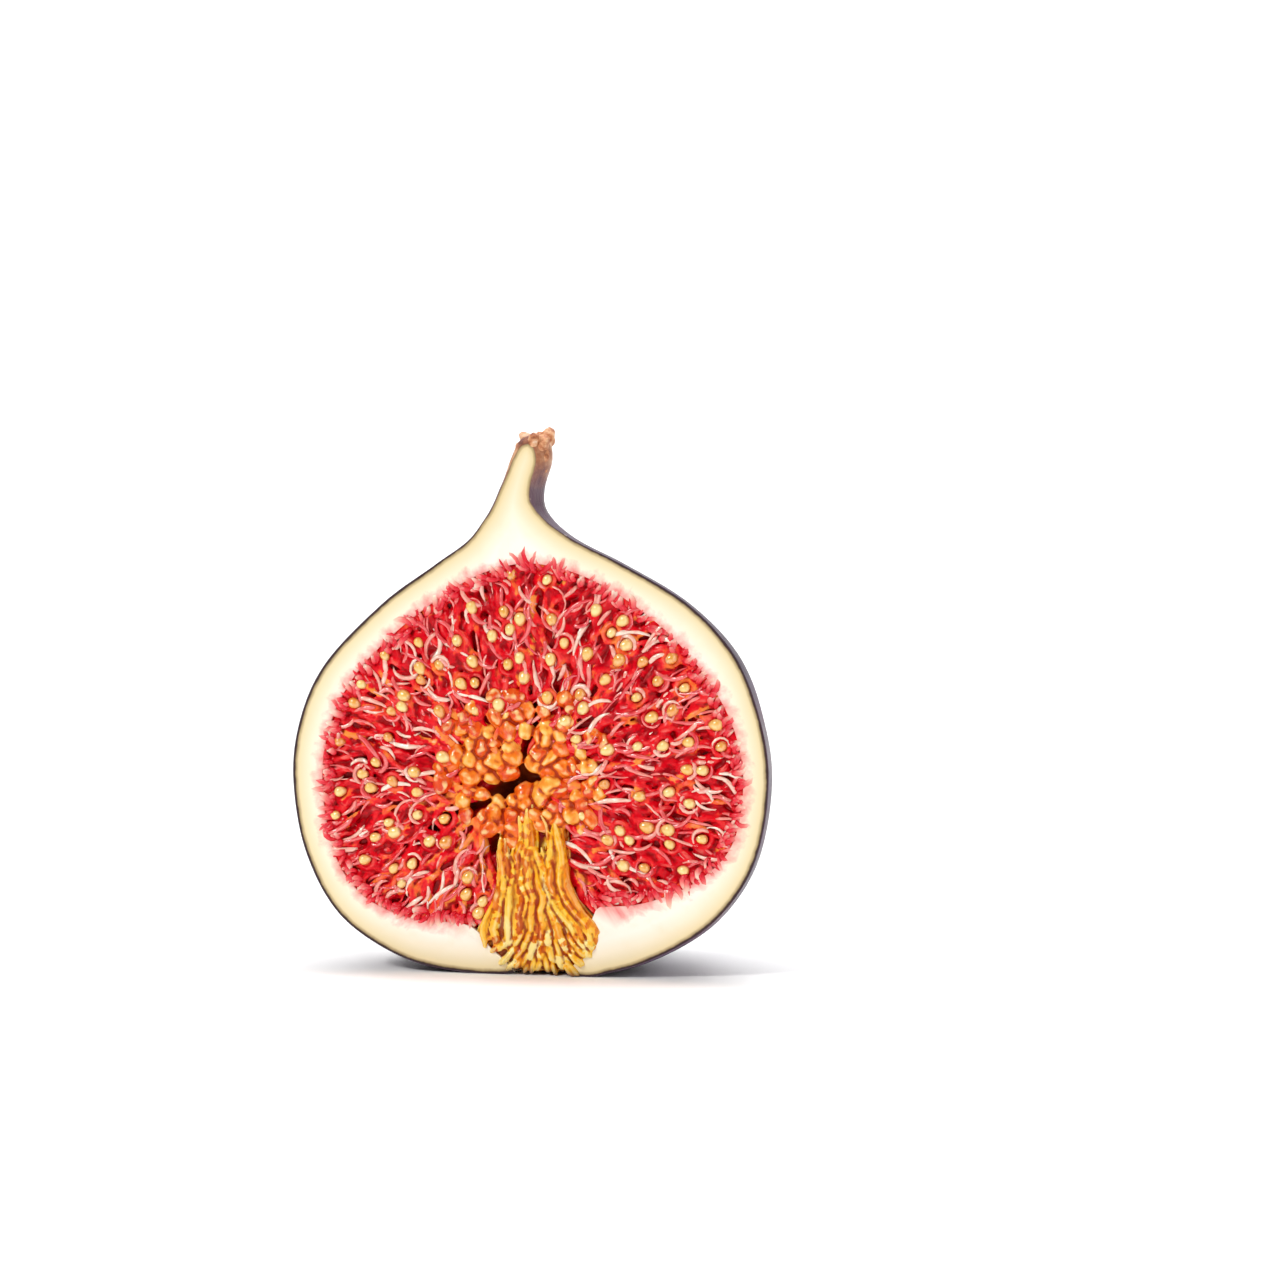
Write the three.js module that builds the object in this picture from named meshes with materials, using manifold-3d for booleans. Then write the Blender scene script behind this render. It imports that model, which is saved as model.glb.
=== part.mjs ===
// Half of a ripe purple fig, cut lengthwise and standing on its eye end.
// Millimetres, +Z up. The cut face looks towards -Y and the skin towards +Y.
// Three bodies: the receptacle (skin, pale rind and stalk, grown as one piece),
// the pulp of florets with their seeds, and the scales that close the eye.
import * as THREE from "three";
import { mergeVertices } from "three/addons/utils/BufferGeometryUtils.js";
import Module from "manifold-3d";

const wasm = await Module();
wasm.setup();

// Driving dimensions
const fruitWidth = 58.4; // across the widest part of the cut face
const fruitHeight = 64.6; // from the base to the tip of the stalk
const backDepth = 27.6; // from the fruit's axis to its back
const cutForward = 0.8; // the knife passed this far in front of the axis
const gap = 0.3; // clearance between neighbouring bodies

// Outlines as shares: distance from the axis over half the width, height over the whole height
const skinOutline = [
  [0, 0.009], [0.1, 0.005], [0.17, 0], [0.32, 0.0045], [0.53, 0.031], [0.785, 0.104], [0.94, 0.213],
  [1, 0.36], [0.97, 0.467], [0.87, 0.578], [0.64, 0.687], [0.39, 0.76], [0.2, 0.812],
  [0.112, 0.862], [0.094, 0.905], [0.088, 0.955], [0.052, 0.99], [0, 1],
];
const pulpOutline = [
  [0, 0.1], [0.28, 0.092], [0.5, 0.101], [0.7, 0.14], [0.83, 0.21], [0.9, 0.35],
  [0.87, 0.45], [0.76, 0.545], [0.56, 0.64], [0.3, 0.722], [0.14, 0.752], [0, 0.764],
];
const plugOutline = [
  [0, -0.012], [0.07, -0.01], [0.13, 0.014], [0.208, 0.05], [0.235, 0.083], [0.19, 0.125],
  [0.143, 0.176], [0.125, 0.23], [0.095, 0.29], [0.06, 0.325], [0, 0.335],
];
const skinFacets = { sides: 56, rings: 32 };
const pulpFacets = { sides: 40, rings: 16 };
const plugFacets = { sides: 16, rings: 11 };

// How the soft fruit sits: its back sinks and its base presses flat
const sagSlope = 0.18; // drop of the base for each millimetre behind the axis
const sagHeight = 22; // the sinking fades out at this height

// The stalk leans to the left, comes back to the right at its tip, and bends away from the cut
const stalkLean = { reach: 1.1, height: 56, span: 4.2 };
const stalkTipShift = 0.3;
const stalkBack = { reach: 1.15, from: 47, to: 56 };
const stalkTipRadius = 1.4;

// The fruit isn't quite even: its shoulders lie to the right and its foot to the left
const shoulderShift = { reach: 0.7, height: 44, span: 7 };
const footShift = { reach: 0.8, height: 14 };

// On the right the pulp starts higher above the eye
const pulpLift = { reach: 2.4, from: 2, to: 8, low: 8, high: 20 };

// Torn stubs at the end of the stalk
const stalkStubs = [
  { turn: 0.05, up: 61.2, radius: 1.25 },
  { turn: 0.6, up: 63.2, radius: 1.05 },
  { turn: 1.7, up: 62.3, radius: 1.35 },
  { turn: 2.8, up: 62.9, radius: 1.0 },
];
const stubStretch = 1.35;

// Low ribs run from the stalk down the shoulders
const ribs = { count: 13, depth: 0.022, height: 45, span: 15 };

// Florets: red ones root in a bed behind the cut, plump amber ones ring the hollow in the middle
const drawSeed = 20117;
const bedRecess = 1.7; // bed of the pulp behind the cut plane
const rimMargin = 1.2; // florets keep this far inside the rim
const floretPitch = 3.55; // spacing of the florets, whose rows are staggered
const hollowReach = 3.4; // no floret stands nearer to the hollow's middle than this
const amberReach = 8.4; // those nearer than this are the amber ones
const scatter = { across: 0.9, swing: 0.5, curl: 1.0, depth: 0.15 };
const redFloret = { length: 4.8, radius: 1.05, bulge: 0.62, rootDepth: 1.7, sides: 5 };
const amberFloret = { radius: 1.5, bulge: 0.84, rootDepth: 6, sides: 7 };
const sizeSpread = 0.18; // florets differ in size by up to this share

// Seeds sit on the heads of some red florets
const seed = { radius: 0.78, stretch: 1.2, every: 3, forward: 0.45, drift: 0.3 };

// The hollow in the middle: a heart and the clefts that run out from it between the florets
const hollowCentre = new THREE.Vector2(-2.4, 22.4); // x and z on the cut plane
const hollowHeart = { radius: 2.6, depth: 3.9, height: 2.2 };
const hollowClefts = [
  { angle: 0.95, length: 5.2, radius: 1.5 },
  { angle: 2.0, length: 3.2, radius: 1.3 },
  { angle: 3.55, length: 7.2, radius: 1.1 },
  { angle: -0.15, length: 5.0, radius: 1.0 },
];

// Scales of the eye, in rows that flare more towards the base
const eyeAxis = 1.7; // x of the plug's middle
const eyeLift = 0.35; // the scales stop this far above the table
const plugRecess = 0.3; // face of the plug's core behind the cut plane
const coreInset = 0.8; // the core lies this far inside its scales
const scale = { radius: 0.72, sides: 5, curl: 0.5, spread: 0.55, rootShare: 0.7 };
const scaleRows = [
  { height: 3.6, length: 4.4, lean: 0.95, count: 9 },
  { height: 6.4, length: 5.2, lean: 0.6, count: 8 },
  { height: 9.8, length: 6.0, lean: 0.28, count: 7 },
  { height: 14.2, length: 6.6, lean: 0.1, count: 5 },
];

// Seeded draws between low and high, the same on every run.
let drawState = drawSeed;
function draw(low, high) {
  drawState = (drawState * 48271) % 2147483647;
  return low + (high - low) * (drawState / 2147483647);
}

function drawAround(reach) {
  return draw(-reach, reach);
}

function bell(value, middle, span) {
  return Math.exp(-(((value - middle) / span) ** 2));
}

// A smooth outline in millimetres through the given shares.
function outlinePoints(shares, rings) {
  const through = shares.map(
    ([out, up]) => new THREE.Vector3((out * fruitWidth) / 2, up * fruitHeight, 0),
  );
  const curve = new THREE.CatmullRomCurve3(through, false, "centripetal");
  return curve.getSpacedPoints(rings).map((p) => new THREE.Vector2(Math.max(p.x, 0), p.y));
}

// How far the underside of the pulp is raised.
function liftAt(x, up) {
  const { smoothstep } = THREE.MathUtils;
  const across = smoothstep(x, pulpLift.from, pulpLift.to);
  return pulpLift.reach * across * (1 - smoothstep(up, pulpLift.low, pulpLift.high));
}

// Where a point of the round fruit lies once the stalk has bent and the base has settled.
function placeInFruit(out, up, turn, ribbed) {
  const { smoothstep } = THREE.MathUtils;
  const rib = ribbed ? ribs.depth * bell(up, ribs.height, ribs.span) * Math.cos(ribs.count * turn) : 0;
  const reach = out * (1 + rib);
  const leanX =
    stalkTipShift * smoothstep(up, stalkLean.height, fruitHeight) -
    stalkLean.reach * bell(up, stalkLean.height, stalkLean.span) +
    shoulderShift.reach * bell(up, shoulderShift.height, shoulderShift.span) -
    footShift.reach * (1 - smoothstep(up, 0, footShift.height));
  const leanY = stalkBack.reach * smoothstep(up, stalkBack.from, stalkBack.to);
  const depthShare = Math.sin(turn) > 0 ? backDepth / (fruitWidth / 2) : 1;
  const y = leanY + reach * Math.sin(turn) * depthShare;
  const x = leanX + reach * Math.cos(turn);
  const sink = sagSlope * Math.max(0, y) * (1 - smoothstep(up, 0, sagHeight));
  const lift = ribbed ? 0 : liftAt(x, up);
  return new THREE.Vector3(x, y, up - sink + lift);
}

// A closed surface of rings round an outline whose two ends lie on the axis.
function ringSurface(outline, sides, place) {
  const positions = [];
  const triangles = [];
  const last = outline.length - 1;
  const ringStart = (ring) => 1 + (ring - 1) * sides;
  positions.push(...place(0, outline[0].y, 0).toArray());
  for (let ring = 1; ring < last; ring++) {
    for (let side = 0; side < sides; side++) {
      const turn = (2 * Math.PI * side) / sides;
      positions.push(...place(outline[ring].x, outline[ring].y, turn).toArray());
    }
  }
  const top = positions.length / 3;
  positions.push(...place(0, outline[last].y, 0).toArray());
  for (let side = 0; side < sides; side++) {
    const next = (side + 1) % sides;
    triangles.push(0, ringStart(1) + next, ringStart(1) + side);
    triangles.push(top, ringStart(last - 1) + side, ringStart(last - 1) + next);
    for (let ring = 1; ring < last - 1; ring++) {
      const low = ringStart(ring);
      const high = ringStart(ring + 1);
      triangles.push(low + side, low + next, high + next);
      triangles.push(low + side, high + next, high + side);
    }
  }
  const geometry = new THREE.BufferGeometry();
  geometry.setAttribute("position", new THREE.Float32BufferAttribute(positions, 3));
  geometry.setIndex(triangles);
  return geometry;
}

// Joining and cutting
function solidFrom(geometry) {
  const bare = geometry.clone();
  bare.deleteAttribute("normal");
  bare.deleteAttribute("uv");
  const merged = mergeVertices(bare, 1e-4);
  return new wasm.Manifold(
    new wasm.Mesh({
      numProp: 3,
      vertProperties: new Float32Array(merged.attributes.position.array),
      triVerts: new Uint32Array(merged.index.array),
    }),
  );
}

function joined(solids) {
  return solids.reduce((whole, solid) => whole.add(solid));
}

function meshFrom(name, solid, material) {
  const made = solid.getMesh();
  const geometry = new THREE.BufferGeometry();
  geometry.setAttribute("position", new THREE.BufferAttribute(new Float32Array(made.vertProperties), 3));
  geometry.setIndex(new THREE.BufferAttribute(new Uint32Array(made.triVerts), 1));
  geometry.computeVertexNormals();
  const mesh = new THREE.Mesh(geometry, material);
  mesh.name = name;
  return mesh;
}

// Everything in front of the knife, and everything under a height
const roomSize = 4 * fruitHeight;
function beyondKnife(forward) {
  const room = new THREE.BoxGeometry(roomSize, roomSize, roomSize);
  return solidFrom(room.translate(0, -forward - roomSize / 2, 0));
}
function belowHeight(height) {
  const room = new THREE.BoxGeometry(roomSize, roomSize, roomSize);
  return solidFrom(room.translate(0, 0, height - roomSize / 2));
}

// The whole fruit, the room that its pulp fills, and the room that the eye's plug fills
function wholeFruit() {
  const outline = outlinePoints(skinOutline, skinFacets.rings);
  return solidFrom(
    ringSurface(outline, skinFacets.sides, (out, up, turn) => placeInFruit(out, up, turn, true)),
  );
}

function pulpRoom(inset) {
  const outline = outlinePoints(pulpOutline, pulpFacets.rings);
  const middle = outline.at(-1).y / 2;
  const share = 1 - inset / middle;
  return solidFrom(
    ringSurface(outline, pulpFacets.sides, (out, up, turn) =>
      placeInFruit(out * share, middle + (up - middle) * share, turn, false),
    ),
  );
}

function plugRoom(grow) {
  const outline = outlinePoints(plugOutline, plugFacets.rings);
  return solidFrom(
    ringSurface(outline, plugFacets.sides, (out, up, turn) => {
      const reach = out > 0 ? out + grow : 0;
      return new THREE.Vector3(eyeAxis + reach * Math.cos(turn), reach * Math.sin(turn), up);
    }),
  );
}

// A drop along +Y from the origin, plumpest at a share of its length, bent sideways by curl.
function dropGeometry(length, radius, sides, curl, bulge) {
  const outline = [
    [0, 0], [0.66, 0.4 * bulge], [1, bulge], [0.68, 0.3 * bulge + 0.7], [0, 1],
  ].map(([out, along]) => new THREE.Vector2(out * radius, along * length));
  const geometry = new THREE.LatheGeometry(outline, sides);
  const spots = geometry.attributes.position;
  for (let i = 0; i < spots.count; i++) {
    spots.setX(i, spots.getX(i) + curl * (spots.getY(i) / length) ** 2);
  }
  return geometry;
}

// A drop from its root along a heading.
function dropSolid(root, heading, length, radius, sides, curl, bulge) {
  const geometry = dropGeometry(length, radius, sides, curl, bulge);
  const upright = new THREE.Vector3(0, 1, 0);
  const turned = new THREE.Quaternion().setFromUnitVectors(upright, heading.clone().normalize());
  geometry.applyQuaternion(turned);
  return solidFrom(geometry.translate(root.x, root.y, root.z));
}

// An egg turned at random about its middle.
function eggSolid(centre, radius, detail, stretch) {
  const geometry = new THREE.IcosahedronGeometry(radius, detail).scale(1, 1, stretch);
  geometry.rotateY(draw(0, Math.PI)).rotateX(draw(0, Math.PI));
  return solidFrom(geometry.translate(centre.x, centre.y, centre.z));
}

// Half width of an outline at a height, nothing above and below it
const outlineSteps = 200;
const rimCurve = outlinePoints(pulpOutline, outlineSteps);
const plugCurve = outlinePoints(plugOutline, outlineSteps);
function halfWidth(curve, up) {
  const heightStep = 0.4;
  const near = curve.filter((p) => Math.abs(p.y - up) < heightStep);
  return Math.max(0, ...near.map((p) => p.x));
}

// Whether a spot of the cut plane lies inside the rim of the pulp and clear of the eye's plug
function onPulp(x, z) {
  const heights = [z - rimMargin - liftAt(x, z), z, z + rimMargin];
  const insideRim = heights.every((up) => Math.abs(x) < halfWidth(rimCurve, up) - rimMargin / 2);
  return insideRim && Math.abs(x - eyeAxis) > halfWidth(plugCurve, z) + redFloret.radius;
}

function amberFloretSolid(head, size, curl) {
  const { radius, bulge, rootDepth, sides } = amberFloret;
  const root = head.clone().setY(rootDepth);
  const heading = head.clone().sub(root);
  return dropSolid(root, heading, heading.length() / bulge, radius * size, sides, curl, bulge);
}

function redFloretSolid(head, outward, size, curl) {
  const { length, radius, bulge, rootDepth, sides } = redFloret;
  const behind = bulge * length * size;
  const root = new THREE.Vector3(
    head.x + behind * Math.cos(outward),
    rootDepth,
    head.z + behind * Math.sin(outward),
  );
  const heading = head.clone().sub(root);
  return dropSolid(root, heading, heading.length() / bulge, radius * size, sides, curl, bulge);
}

function seedSolid(head) {
  const seat = new THREE.Vector3(drawAround(seed.drift), -seed.forward, drawAround(seed.drift)).add(head);
  return eggSolid(seat, seed.radius, 0, seed.stretch);
}

// The middles of the florets' heads on the cut plane, in staggered rows, each pushed a little aside
function floretSpots() {
  const spots = [];
  const rowStep = floretPitch * Math.sin(Math.PI / 3);
  const rows = Math.ceil(fruitHeight / rowStep);
  const columns = Math.ceil(fruitWidth / floretPitch);
  for (let row = 0; row < rows; row++) {
    for (let column = 0; column < columns; column++) {
      const x = (column - columns / 2 + (row % 2) / 2) * floretPitch + drawAround(scatter.across);
      const z = row * rowStep + drawAround(scatter.across);
      const spot = new THREE.Vector2(x, z);
      if (onPulp(x, z) && spot.distanceTo(hollowCentre) > hollowReach) spots.push(spot);
    }
  }
  return spots;
}

// Red florets point to the hollow from all sides; every few of them carry a seed that shows.
function floretSolids() {
  const solids = [];
  floretSpots().forEach((spot, k) => {
    const depth = redFloret.radius - cutForward + drawAround(scatter.depth);
    const head = new THREE.Vector3(spot.x, depth, spot.y);
    const size = 1 + drawAround(sizeSpread);
    const curl = drawAround(scatter.curl);
    if (spot.distanceTo(hollowCentre) < amberReach) {
      solids.push(amberFloretSolid(head, size, curl));
      return;
    }
    const outward = spot.clone().sub(hollowCentre).angle() + drawAround(scatter.swing);
    solids.push(redFloretSolid(head, outward, size, curl));
    if (k % seed.every === 0) solids.push(seedSolid(head));
  });
  return solids;
}

function hollowSolid() {
  const { radius, depth, height } = hollowHeart;
  const heart = new THREE.IcosahedronGeometry(1, 1).scale(radius, depth, height);
  const clefts = hollowClefts.map((cleft) =>
    new THREE.IcosahedronGeometry(1, 1)
      .scale(cleft.length, 2 * cleft.radius, cleft.radius)
      .rotateY(-cleft.angle),
  );
  return joined([heart, ...clefts].map((g) => solidFrom(g.translate(hollowCentre.x, 0, hollowCentre.y))));
}

function scaleSolids() {
  const solids = [];
  for (const row of scaleRows) {
    const ring = halfWidth(plugCurve, row.height) - coreInset;
    for (let k = 0; k < row.count; k++) {
      const across = Math.cos((Math.PI * (k + 0.5)) / row.count);
      const root = new THREE.Vector3(
        eyeAxis - scale.spread * ring * across,
        -cutForward + scale.spread * Math.abs(across) + draw(0, plugRecess),
        row.height + scale.rootShare * row.length,
      );
      const heading = new THREE.Vector3(-row.lean * across, 0, -1);
      const radius = scale.radius * (1 + drawAround(sizeSpread));
      const curl = drawAround(scale.curl);
      solids.push(dropSolid(root, heading, row.length, radius, scale.sides, curl, redFloret.bulge));
    }
  }
  return solids;
}

// The rough end of the stalk: stubs of torn bracts round the tip.
function stubSolids() {
  return stalkStubs.map(({ turn, up, radius }) =>
    eggSolid(placeInFruit(stalkTipRadius, up, turn, false), radius, 1, stubStretch),
  );
}

// Bodies
function receptacleSolid() {
  return joined([wholeFruit(), ...stubSolids()])
    .subtract(pulpRoom(0))
    .subtract(plugRoom(gap))
    .subtract(beyondKnife(cutForward))
    .subtract(belowHeight(0));
}

function pulpSolid() {
  const room = pulpRoom(gap);
  const bed = room.subtract(beyondKnife(cutForward - bedRecess)).subtract(hollowSolid());
  return joined([bed, ...floretSolids()]).intersect(room).subtract(plugRoom(gap));
}

function eyeScalesSolid() {
  const core = plugRoom(-coreInset).subtract(beyondKnife(cutForward - plugRecess));
  return joined([core, ...scaleSolids()]).intersect(plugRoom(0)).subtract(belowHeight(eyeLift));
}

const skinFinish = new THREE.MeshStandardMaterial({ color: 0x4b3346, roughness: 0.55, metalness: 0 });
const pulpFinish = new THREE.MeshStandardMaterial({ color: 0xc2182b, roughness: 0.25, metalness: 0 });
const scaleFinish = new THREE.MeshStandardMaterial({ color: 0xdf9a32, roughness: 0.35, metalness: 0 });

const fig = new THREE.Group();
fig.add(
  meshFrom("receptacle", receptacleSolid(), skinFinish),
  meshFrom("pulp", pulpSolid(), pulpFinish),
  meshFrom("eye_scales", eyeScalesSolid(), scaleFinish),
);

// The origin is under the middle of the half fig, on the surface that it stands on.
const extent = new THREE.Box3().setFromObject(fig);
const middle = extent.getCenter(new THREE.Vector3());
fig.position.set(-middle.x, -middle.y, -extent.min.z);

const part = new THREE.Group();
part.add(fig);

export default part;
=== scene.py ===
import math
import random

import bpy
import numpy as np
from mathutils import Matrix, Vector, kdtree, noise


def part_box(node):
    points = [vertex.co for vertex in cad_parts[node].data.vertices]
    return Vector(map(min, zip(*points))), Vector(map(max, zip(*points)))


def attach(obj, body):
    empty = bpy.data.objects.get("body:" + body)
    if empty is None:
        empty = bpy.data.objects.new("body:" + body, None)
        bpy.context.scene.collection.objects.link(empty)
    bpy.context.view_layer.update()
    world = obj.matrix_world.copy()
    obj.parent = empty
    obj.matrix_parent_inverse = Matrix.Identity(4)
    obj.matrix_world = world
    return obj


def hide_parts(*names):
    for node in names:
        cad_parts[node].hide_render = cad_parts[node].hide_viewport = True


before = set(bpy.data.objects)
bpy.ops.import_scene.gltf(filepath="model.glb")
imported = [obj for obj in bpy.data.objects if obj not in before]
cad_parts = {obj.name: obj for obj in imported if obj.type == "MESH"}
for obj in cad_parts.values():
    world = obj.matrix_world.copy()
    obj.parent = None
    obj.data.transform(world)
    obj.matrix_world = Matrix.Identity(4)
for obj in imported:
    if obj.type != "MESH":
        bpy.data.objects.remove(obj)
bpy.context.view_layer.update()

mm = 0.001
twoPi = 2 * math.pi

# the fruit's own place: millimetres from its axis and above the table, cut face towards -Y
fruit = {
    "width": 58.4,
    "height": 64.6,
    "backDepth": 27.6,
    "cutForward": 0.8,  # the knife's plane in front of the axis
    "leftReach": 29.11,  # widest point of the skin, left of the axis
    "sagSlope": 0.18,
    "sagHeight": 22.0,
    "lean": (1.6, 56.0, 4.4),  # stalk to the left: reach, height, span
    "tipShift": 0.3,
    "bendBack": (0.9, 50.0, 57.5),  # stalk away from the cut: reach, from, to
    "tipBack": (0.12, 58.0, 63.0),  # and its tip further
    "twist": (0.24, 51.0, 57.5),  # back of the stalk to the right: slope, from, to
    "shoulder": (0.7, 44.0, 7.0),  # shoulders to the right: reach, height, span
    "foot": (0.8, 14.0),  # foot to the left: reach, height
    "eye": (2.5, 4.0, 12.0),  # eye to the right: reach, full to, none from this far out
    "pulpLift": (2.4, 2.0, 8.0, 8.0, 20.0),  # pulp starts higher on the right: reach, x and height
    "leftRind": (0.034, 25.0, 16.0),  # pulp held back on the left: share, height, span
    "ribs": (13, 0.022, 45.0, 15.0),  # count, depth, height, span
    "fineRibs": (0.006, 44, 17),  # depth, height, span
    "bulges": (0.004, 26, 18),
    "hollow": (-2.4, 22.4),  # middle of the hollow on the cut, x and z
}
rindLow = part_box("receptacle")[0]
cutY = rindLow.y
axis = np.array((rindLow.x + fruit["leftReach"] * mm, cutY + fruit["cutForward"] * mm, 0.0))
knifeY = -fruit["cutForward"]


def toScene(points):
    return np.asarray(points, float) * mm + axis


def toFruit(points):
    return (np.asarray(points, float) - axis) / mm


def smoothStep(value, low, high):
    t = np.clip((np.asarray(value, float) - low) / (high - low), 0, 1)
    return t * t * (3 - 2 * t)


def bell(value, middle, span):
    return np.exp(-(((value - middle) / span) ** 2))


def between(t, low, high, first, second):
    return first * (high - t) / (high - low) + second * (t - low) / (high - low)


# outlines: distance from the axis over half the width, height over the whole height
def smoothOutline(shares, count):
    pts = np.array(shares, float) * (fruit["width"] / 2, fruit["height"])
    pts = np.vstack((2 * pts[0] - pts[1], pts, 2 * pts[-1] - pts[-2]))
    line = []
    for a, b, c, d in zip(pts, pts[1:], pts[2:], pts[3:]):
        gaps = [max(np.linalg.norm(q - p), 1e-6) ** 0.5 for p, q in ((a, b), (b, c), (c, d))]
        t0, t1, t2, t3 = 0.0, *np.cumsum(gaps)
        for t in np.linspace(t1, t2, 24, endpoint=False):
            ab, bc, cd = between(t, t0, t1, a, b), between(t, t1, t2, b, c), between(t, t2, t3, c, d)
            abc, bcd = between(t, t0, t2, ab, bc), between(t, t1, t3, bc, cd)
            line.append(between(t, t1, t2, abc, bcd))
    line.append(pts[-2])
    line = np.array(line)
    line[:, 0] = np.maximum(line[:, 0], 0)
    run = np.concatenate(([0], np.cumsum(np.linalg.norm(np.diff(line, axis=0), axis=1))))
    even = np.linspace(0, run[-1], count + 1)
    return np.column_stack((np.interp(even, run, line[:, 0]), np.interp(even, run, line[:, 1])))


def hump(up, name):
    reach, middle, span = fruit[name]
    return reach * bell(up, middle, span)


def rise(up, name):
    reach, low, high = fruit[name]
    return reach * smoothStep(up, low, high)


# bends the stalk, raises the ribs and settles the base of a round shell
def settle(points, ribbed):
    x, y, up = points.T
    turn = np.arctan2(y, x)
    out = np.hypot(x, y)
    if ribbed:
        count, depth, height, span = fruit["ribs"]
        rib = depth * bell(up, height, span) * np.cos(count * turn)
        rib += hump(up, "fineRibs") * np.sin(31 * turn + 1.7 * np.sin(up / 6))
        depth, height, span = fruit["bulges"]
        rib += depth * np.sin(3 * turn + 0.11 * up) * bell(up, height, span)
        out = out * (1 + rib)
    leanX = fruit["tipShift"] * smoothStep(up, fruit["lean"][1], fruit["height"]) - hump(up, "lean")
    footReach, footHeight = fruit["foot"]
    leanX += hump(up, "shoulder") - footReach * (1 - smoothStep(up, 0, footHeight))
    eyeReach, eyeFrom, eyeTo = fruit["eye"]
    leanX += eyeReach * (1 - smoothStep(out, eyeFrom, eyeTo)) * (1 - smoothStep(up, 5, 12))
    leanY = rise(up, "bendBack") + rise(up, "tipBack")
    depthShare = np.where(np.sin(turn) > 0, fruit["backDepth"] / (fruit["width"] / 2), 1.0)
    newY = leanY + out * np.sin(turn) * depthShare
    leanX += rise(up, "twist") * (newY - knifeY)
    newX = leanX + out * np.cos(turn)
    height = up - fruit["sagSlope"] * np.maximum(0, newY) * (1 - smoothStep(up, 0, fruit["sagHeight"]))
    if not ribbed:
        shift = hump(up, "leftRind") * smoothStep(up, 2, 6)
        newX = np.where(newX < 0, newX * (1 - shift), newX)
        reach, xFrom, xTo, low, high = fruit["pulpLift"]
        lift = reach * smoothStep(newX, xFrom, xTo)
        height += lift * smoothStep(up, 2.5, 5.5) * (1 - smoothStep(up, low, high))
    return np.column_stack((newX, newY, height)), turn


# working on one object at a time
def clearSelection():
    if bpy.context.object and bpy.context.object.mode != "OBJECT":
        bpy.ops.object.mode_set(mode="OBJECT")
    bpy.ops.object.select_all(action="DESELECT")


def takeUp(obj):
    clearSelection()
    obj.select_set(True)
    bpy.context.view_layer.objects.active = obj


def meshPoints(obj):
    flat = np.empty(len(obj.data.vertices) * 3)
    obj.data.vertices.foreach_get("co", flat)
    return flat.reshape(-1, 3)


def setPoints(obj, points):
    obj.data.vertices.foreach_set("co", np.asarray(points, np.float32).ravel())
    obj.data.update()


def setValues(obj, name, values):
    data = obj.data.attributes.get(name) or obj.data.attributes.new(name, "FLOAT", "POINT")
    data.data.foreach_set("value", np.asarray(values, np.float32))


def getValues(obj, name):
    values = np.empty(len(obj.data.vertices), np.float32)
    obj.data.attributes[name].data.foreach_get("value", values)
    return values


def joinAll(objects, name):
    clearSelection()
    for obj in objects:
        obj.select_set(True)
    bpy.context.view_layer.objects.active = objects[0]
    bpy.ops.object.join()
    joined = bpy.context.object
    joined.name = name
    joined.data.name = name
    return joined


def discard(obj):
    mesh = obj.data
    bpy.data.objects.remove(obj)
    bpy.data.meshes.remove(mesh)


def applyModifier(obj, kind, **settings):
    takeUp(obj)
    modifier = obj.modifiers.new(kind.title(), kind)
    for key, value in settings.items():
        setattr(modifier, key, value)
    bpy.ops.object.modifier_apply(modifier=modifier.name)


def startEdit():
    bpy.ops.object.mode_set(mode="EDIT")
    bpy.ops.mesh.select_all(action="SELECT")


def endEdit():
    bpy.ops.object.mode_set(mode="OBJECT")


def bring(name, data):
    obj = bpy.data.objects.new(name, data)
    bpy.context.scene.collection.objects.link(obj)
    return obj


# one vertex is extruded along the outline and spun round the axis
def spunShell(name, outline, sides):
    clearSelection()
    x0, z0 = outline[0]
    bpy.ops.mesh.primitive_plane_add(size=mm, location=toScene((x0, 0, z0)))
    shell = bpy.context.object
    shell.name = name
    bpy.ops.object.transform_apply(location=True, rotation=True, scale=True)
    startEdit()
    bpy.ops.mesh.merge(type="CENTER")
    for (xa, za), (xb, zb) in zip(outline, outline[1:]):
        step = ((xb - xa) * mm, 0, (zb - za) * mm)
        bpy.ops.mesh.extrude_region_move(TRANSFORM_OT_translate={"value": step})
    bpy.ops.mesh.select_all(action="SELECT")
    bpy.ops.mesh.spin(steps=sides, angle=twoPi, center=axis, axis=(0, 0, 1))
    bpy.ops.mesh.select_all(action="SELECT")
    bpy.ops.mesh.remove_doubles(threshold=1e-6)
    bpy.ops.mesh.normals_make_consistent(inside=False)
    endEdit()
    return shell


def cutAway(obj, planeY, fill):
    takeUp(obj)
    startEdit()
    plane = {"plane_co": (0, planeY, 0), "plane_no": (0, 1, 0)}
    bpy.ops.mesh.bisect(**plane, use_fill=fill, clear_inner=True, threshold=1e-7)
    endEdit()


# materials: the one in work lies on the bench
bench = {}


def colour(red, green, blue):
    parts = []
    for part in (red, green, blue):
        c = part / 255
        parts.append(c / 12.92 if c <= 0.04045 else ((c + 0.055) / 1.055) ** 2.4)
    return (*parts, 1.0)


def plug(target, source):
    if isinstance(source, bpy.types.NodeSocket):
        bench["tree"].links.new(source, target)
    else:
        target.default_value = source


def feed(name, source):
    plug(bench["shader"].inputs[name], source)


def startFinish(name, roughness, ior, specular=0.5):
    finish = bpy.data.materials.new(name)
    finish.use_nodes = True
    bench["tree"] = finish.node_tree
    bench["shader"] = finish.node_tree.nodes["Principled BSDF"]
    feed("Roughness", roughness)
    feed("IOR", ior)
    feed("Specular IOR Level", specular)
    return finish


def dress(obj, finish):
    obj.data.materials.clear()
    obj.data.materials.append(finish)


def newNode(kind, **sockets):
    node = bench["tree"].nodes.new(kind)
    for key, source in sockets.items():
        plug(node.inputs[key], source)
    return node


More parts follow.
